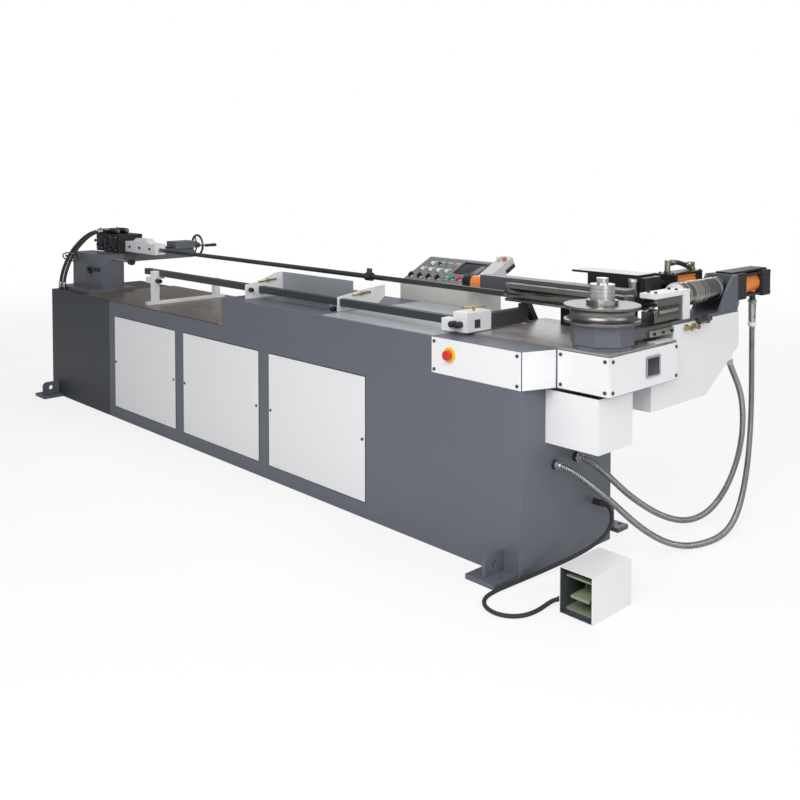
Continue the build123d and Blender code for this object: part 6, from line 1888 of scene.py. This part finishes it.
@dataclass
class Console(Assembly):
    """The sloped console with its panel, lamps, screen and side box."""

    origin: Point = (0.730, 0.350, 0.995)
    slope: float = 0.46186
    face: float = 0.003
    lamps: tuple[tuple[Cap, float, float], ...] = (
        (Cap.WHITE, 0.083, 0.190), (Cap.DARK, 0.140, 0.190), (Cap.GREEN, 0.197, 0.190),
        (Cap.ROSE, 0.254, 0.190), (Cap.CREAM, 0.059, 0.128), (Cap.CREAM, 0.118, 0.128),
        (Cap.CREAM, 0.177, 0.128), (Cap.CREAM, 0.236, 0.128), (Cap.GREEN, 0.286, 0.060),
    )
    lamp_ring: Profile = ((0.0155, 0.0), (0.0155, 0.0025), (0.0140, 0.0040), (0.0110, 0.0040))
    lamp_dome: Profile = (
        (0.0112, 0.001), (0.0112, 0.008), (0.0095, 0.0115), (0.0055, 0.0135), (0.0, 0.0140),
    )
    controls: tuple[Pair, ...] = (
        (0.030, 0.060), (0.096, 0.060), (0.162, 0.060), (0.228, 0.060), (0.322, 0.072), (0.372, 0.072),
    )
    bezel: Profile = (
        (0.0158, 0.0), (0.0192, 0.0), (0.0192, 0.0012), (0.0176, 0.0036), (0.0158, 0.0036), (0.0158, 0.0),
    )
    screen_low: Pair = (0.290, 0.122)
    screen_high: Pair = (0.462, 0.232)
    screen_rim: float = 0.008
    screen_base: float = 0.0028
    screen_rim_top: float = 0.0075
    screen_edge: float = 0.001
    glass_top: float = 0.0050
    glass_edge: float = 0.0004
    tag_low: Point = (-0.016, 0.0195, 0.0029)
    tag_high: Point = (0.016, 0.0265, 0.0036)
    tag_edge: float = 0.0002
    side_knobs: tuple[tuple[Cap, float], ...] = ((Cap.CREAM, 0.508), (Cap.ROSE, 0.545))
    side_knob_up: float = 0.262
    side_knob_lift: float = 0.0198
    side_knob: Pair = (0.012, 0.020)
    side_knob_flutes: int = 12
    latch: tuple[tuple[Point, Point, float], ...] = (
        ((0.5668, 0.222, -0.034), (0.5740, 0.292, -0.014), 0.002),
        ((0.5730, 0.232, -0.029), (0.5810, 0.268, -0.019), 0.003),
    )

    caps: ClassVar[dict[Cap, Finish]] = {
        Cap.WHITE: Paints.WHITE_CAP, Cap.CREAM: Paints.CREAM_CAP, Cap.GREEN: Paints.GREEN_CAP,
        Cap.ROSE: Paints.ROSE_CAP, Cap.DARK: Paints.BLACK_PLASTIC,
    }

    def spot(self, along: float, up: float, lift: float) -> tuple[Point, Point]:
        """Gives the place of a point over the slope, and the direction square to the slope.

        Args:
            along: Its distance from the left edge.
            up: Its distance up the slope.
            lift: Its height over the slope.

        Returns:
            The point and the direction.
        """
        x, y, z = self.origin
        rise, run = sin(self.slope), cos(self.slope)
        return (x + along, y + up * run - lift * rise, z + up * rise + lift * run), (0.0, -rise, run)

    def tilt(self) -> Matrix:
        """Gives the move from a level panel to the slope."""
        return Matrix.Translation(self.origin) @ Matrix.Rotation(self.slope, 4, "X")

    def dress(self) -> None:
        """Gives the solids their finishes."""
        dress(Paints.CREAM, "console_body")
        dress(Paints.DARK_PANEL, "console_panel")
        dress(Paints.GREEN_CAP, "start_button")
        dress(Paints.RED, "stop_button")
        dress(Paints.BLACK_PLASTIC, "selector_1", "selector_2", "selector_3", "selector_4")

    def fittings(self) -> list[Fitting]:
        """Lists the console's fittings."""
        return [*self.lights(), *self.screen(), *self.side()]

    def lights(self) -> list[Fitting]:
        """Lists the lamps, their metal rings and the bezel round each selector and button.

        Returns:
            The fittings.
        """
        lamps = [
            Fitting(f"{cap.value}_lamps", "bed", finish, "panel_dark", [
                Lathe(*self.spot(along, up, self.face), self.lamp_dome, 28)
                for own, along, up in self.lamps if own is cap
            ])
            for cap, finish in self.caps.items()
        ]
        return [
            *lamps,
            Fitting("lamp_rings", "bed", Paints.ZINC, "machined_steel", [
                Lathe(*self.spot(along, up, self.face), self.lamp_ring, 32) for _, along, up in self.lamps
            ]),
            Fitting("control_bezels", "bed", Paints.CHROME, "machined_steel", [
                Lathe(*self.spot(along, up, self.face), self.bezel) for along, up in self.controls
            ]),
        ]

    def screen(self) -> list[Fitting]:
        """Lists the display in its frame and the bare tag over each lamp.

        Returns:
            The fittings.
        """
        rim, base, tilt = self.screen_rim, self.screen_base, self.tilt()
        (left, low), (right, high) = self.screen_low, self.screen_high
        glass = ((left + rim, low + rim, base), (right - rim, high - rim, self.glass_top))
        return [
            Fitting("screen_frame", "bed", Paints.BLACK_PLASTIC, "selector_black", [
                Block((*start, base), (*end, self.screen_rim_top), self.screen_edge, tilt)
                for start, end in border(self.screen_low, self.screen_high, rim)
            ]),
            Fitting("screen_glass", "bed", Paints.SCREEN, "panel_dark", [
                Block(*glass, self.glass_edge, tilt),
            ]),
            Fitting("lamp_tags", "bed", Paints.PALE, "grey_plate", [
                Block(self.tag_low, self.tag_high, self.tag_edge, tilt @ Matrix.Translation((along, up, 0.0)))
                for _, along, up in self.lamps
            ]),
        ]

    def side(self) -> list[Fitting]:
        """Lists the knobs on the side box and its latch.

        Returns:
            The fittings.
        """
        size = (*self.side_knob, self.side_knob_flutes)
        knobs = [
            Fitting(f"{cap.value}_side_knob", "bed", self.caps[cap], "panel_dark", [
                Knob(*self.spot(along, self.side_knob_up, self.side_knob_lift), *size),
            ])
            for cap, along in self.side_knobs
        ]
        return [
            *knobs,
            Fitting("side_latch", "bed", Paints.BLACK_PLASTIC, "selector_black", [
                Block(*block, self.tilt()) for block in self.latch
            ]),
        ]


@dataclass
class FootSwitch(Assembly):
    """The foot switch in its white guard."""

    # Dark grey inside the white guard: painted shade of the guard's hollow over the pedal.
    inside: Band = Band(
        (0.075, 0.080, 0.095), -0.4455, -0.1995, floor=0.0005, ceiling=0.1705, sides=(2.3895, 2.5305),
    )
    tread_sides: Pair = (2.424, 2.496)
    tread_heights: Pair = (0.067, 0.0695)
    ribs: tuple[float, ...] = (-0.412, -0.396, -0.380, -0.364, -0.348, -0.332, -0.316)
    rib_half: float = 0.003
    rib_edge: float = 0.0008
    hood: tuple[Form, ...] = (
        Block((2.404, -0.425, 0.133), (2.516, -0.2415, 0.140), 0.002),
        Block((2.404, -0.3155, 0.088), (2.409, -0.2415, 0.135), 0.0008),
        Block((2.511, -0.3155, 0.088), (2.516, -0.2415, 0.135), 0.0008),
    )

    def dress(self) -> None:
        """Gives the solids their finishes, with painted shade on the inside of the guard."""
        # The guard is white outside and dark grey inside, the dark grey being painted shade.
        dress(Banded("switch_guard_paint_and_inner_shade", WHITE, (self.inside,), 0.38), "foot_switch_guard")
        dress(Paints.GREEN, "foot_switch_body", "foot_pedal")

    def fittings(self) -> list[Fitting]:
        """Lists the pedal's tread and the hood over it.

        Returns:
            The fittings.
        """
        (start, end), (low, high), half = self.tread_sides, self.tread_heights, self.rib_half
        return [
            Fitting("pedal_tread", "pedal", Paints.GREEN, "switch_green", [
                Block((start, y - half, low), (end, y + half, high), self.rib_edge) for y in self.ribs
            ]),
            Fitting("switch_hood", "bed", Paints.GREEN, "switch_green", self.hood),
        ]


def main() -> None:
    """Builds the machine's dress in order."""
    logging.basicConfig(level=logging.INFO, format="%(message)s")
    Studio().build()
    for assembly in (Cords, Bed, Head, Clamp, Pressure, Mandrel, Gauge, Console, FootSwitch):
        assembly().build()


if __name__ == "__main__":
    main()
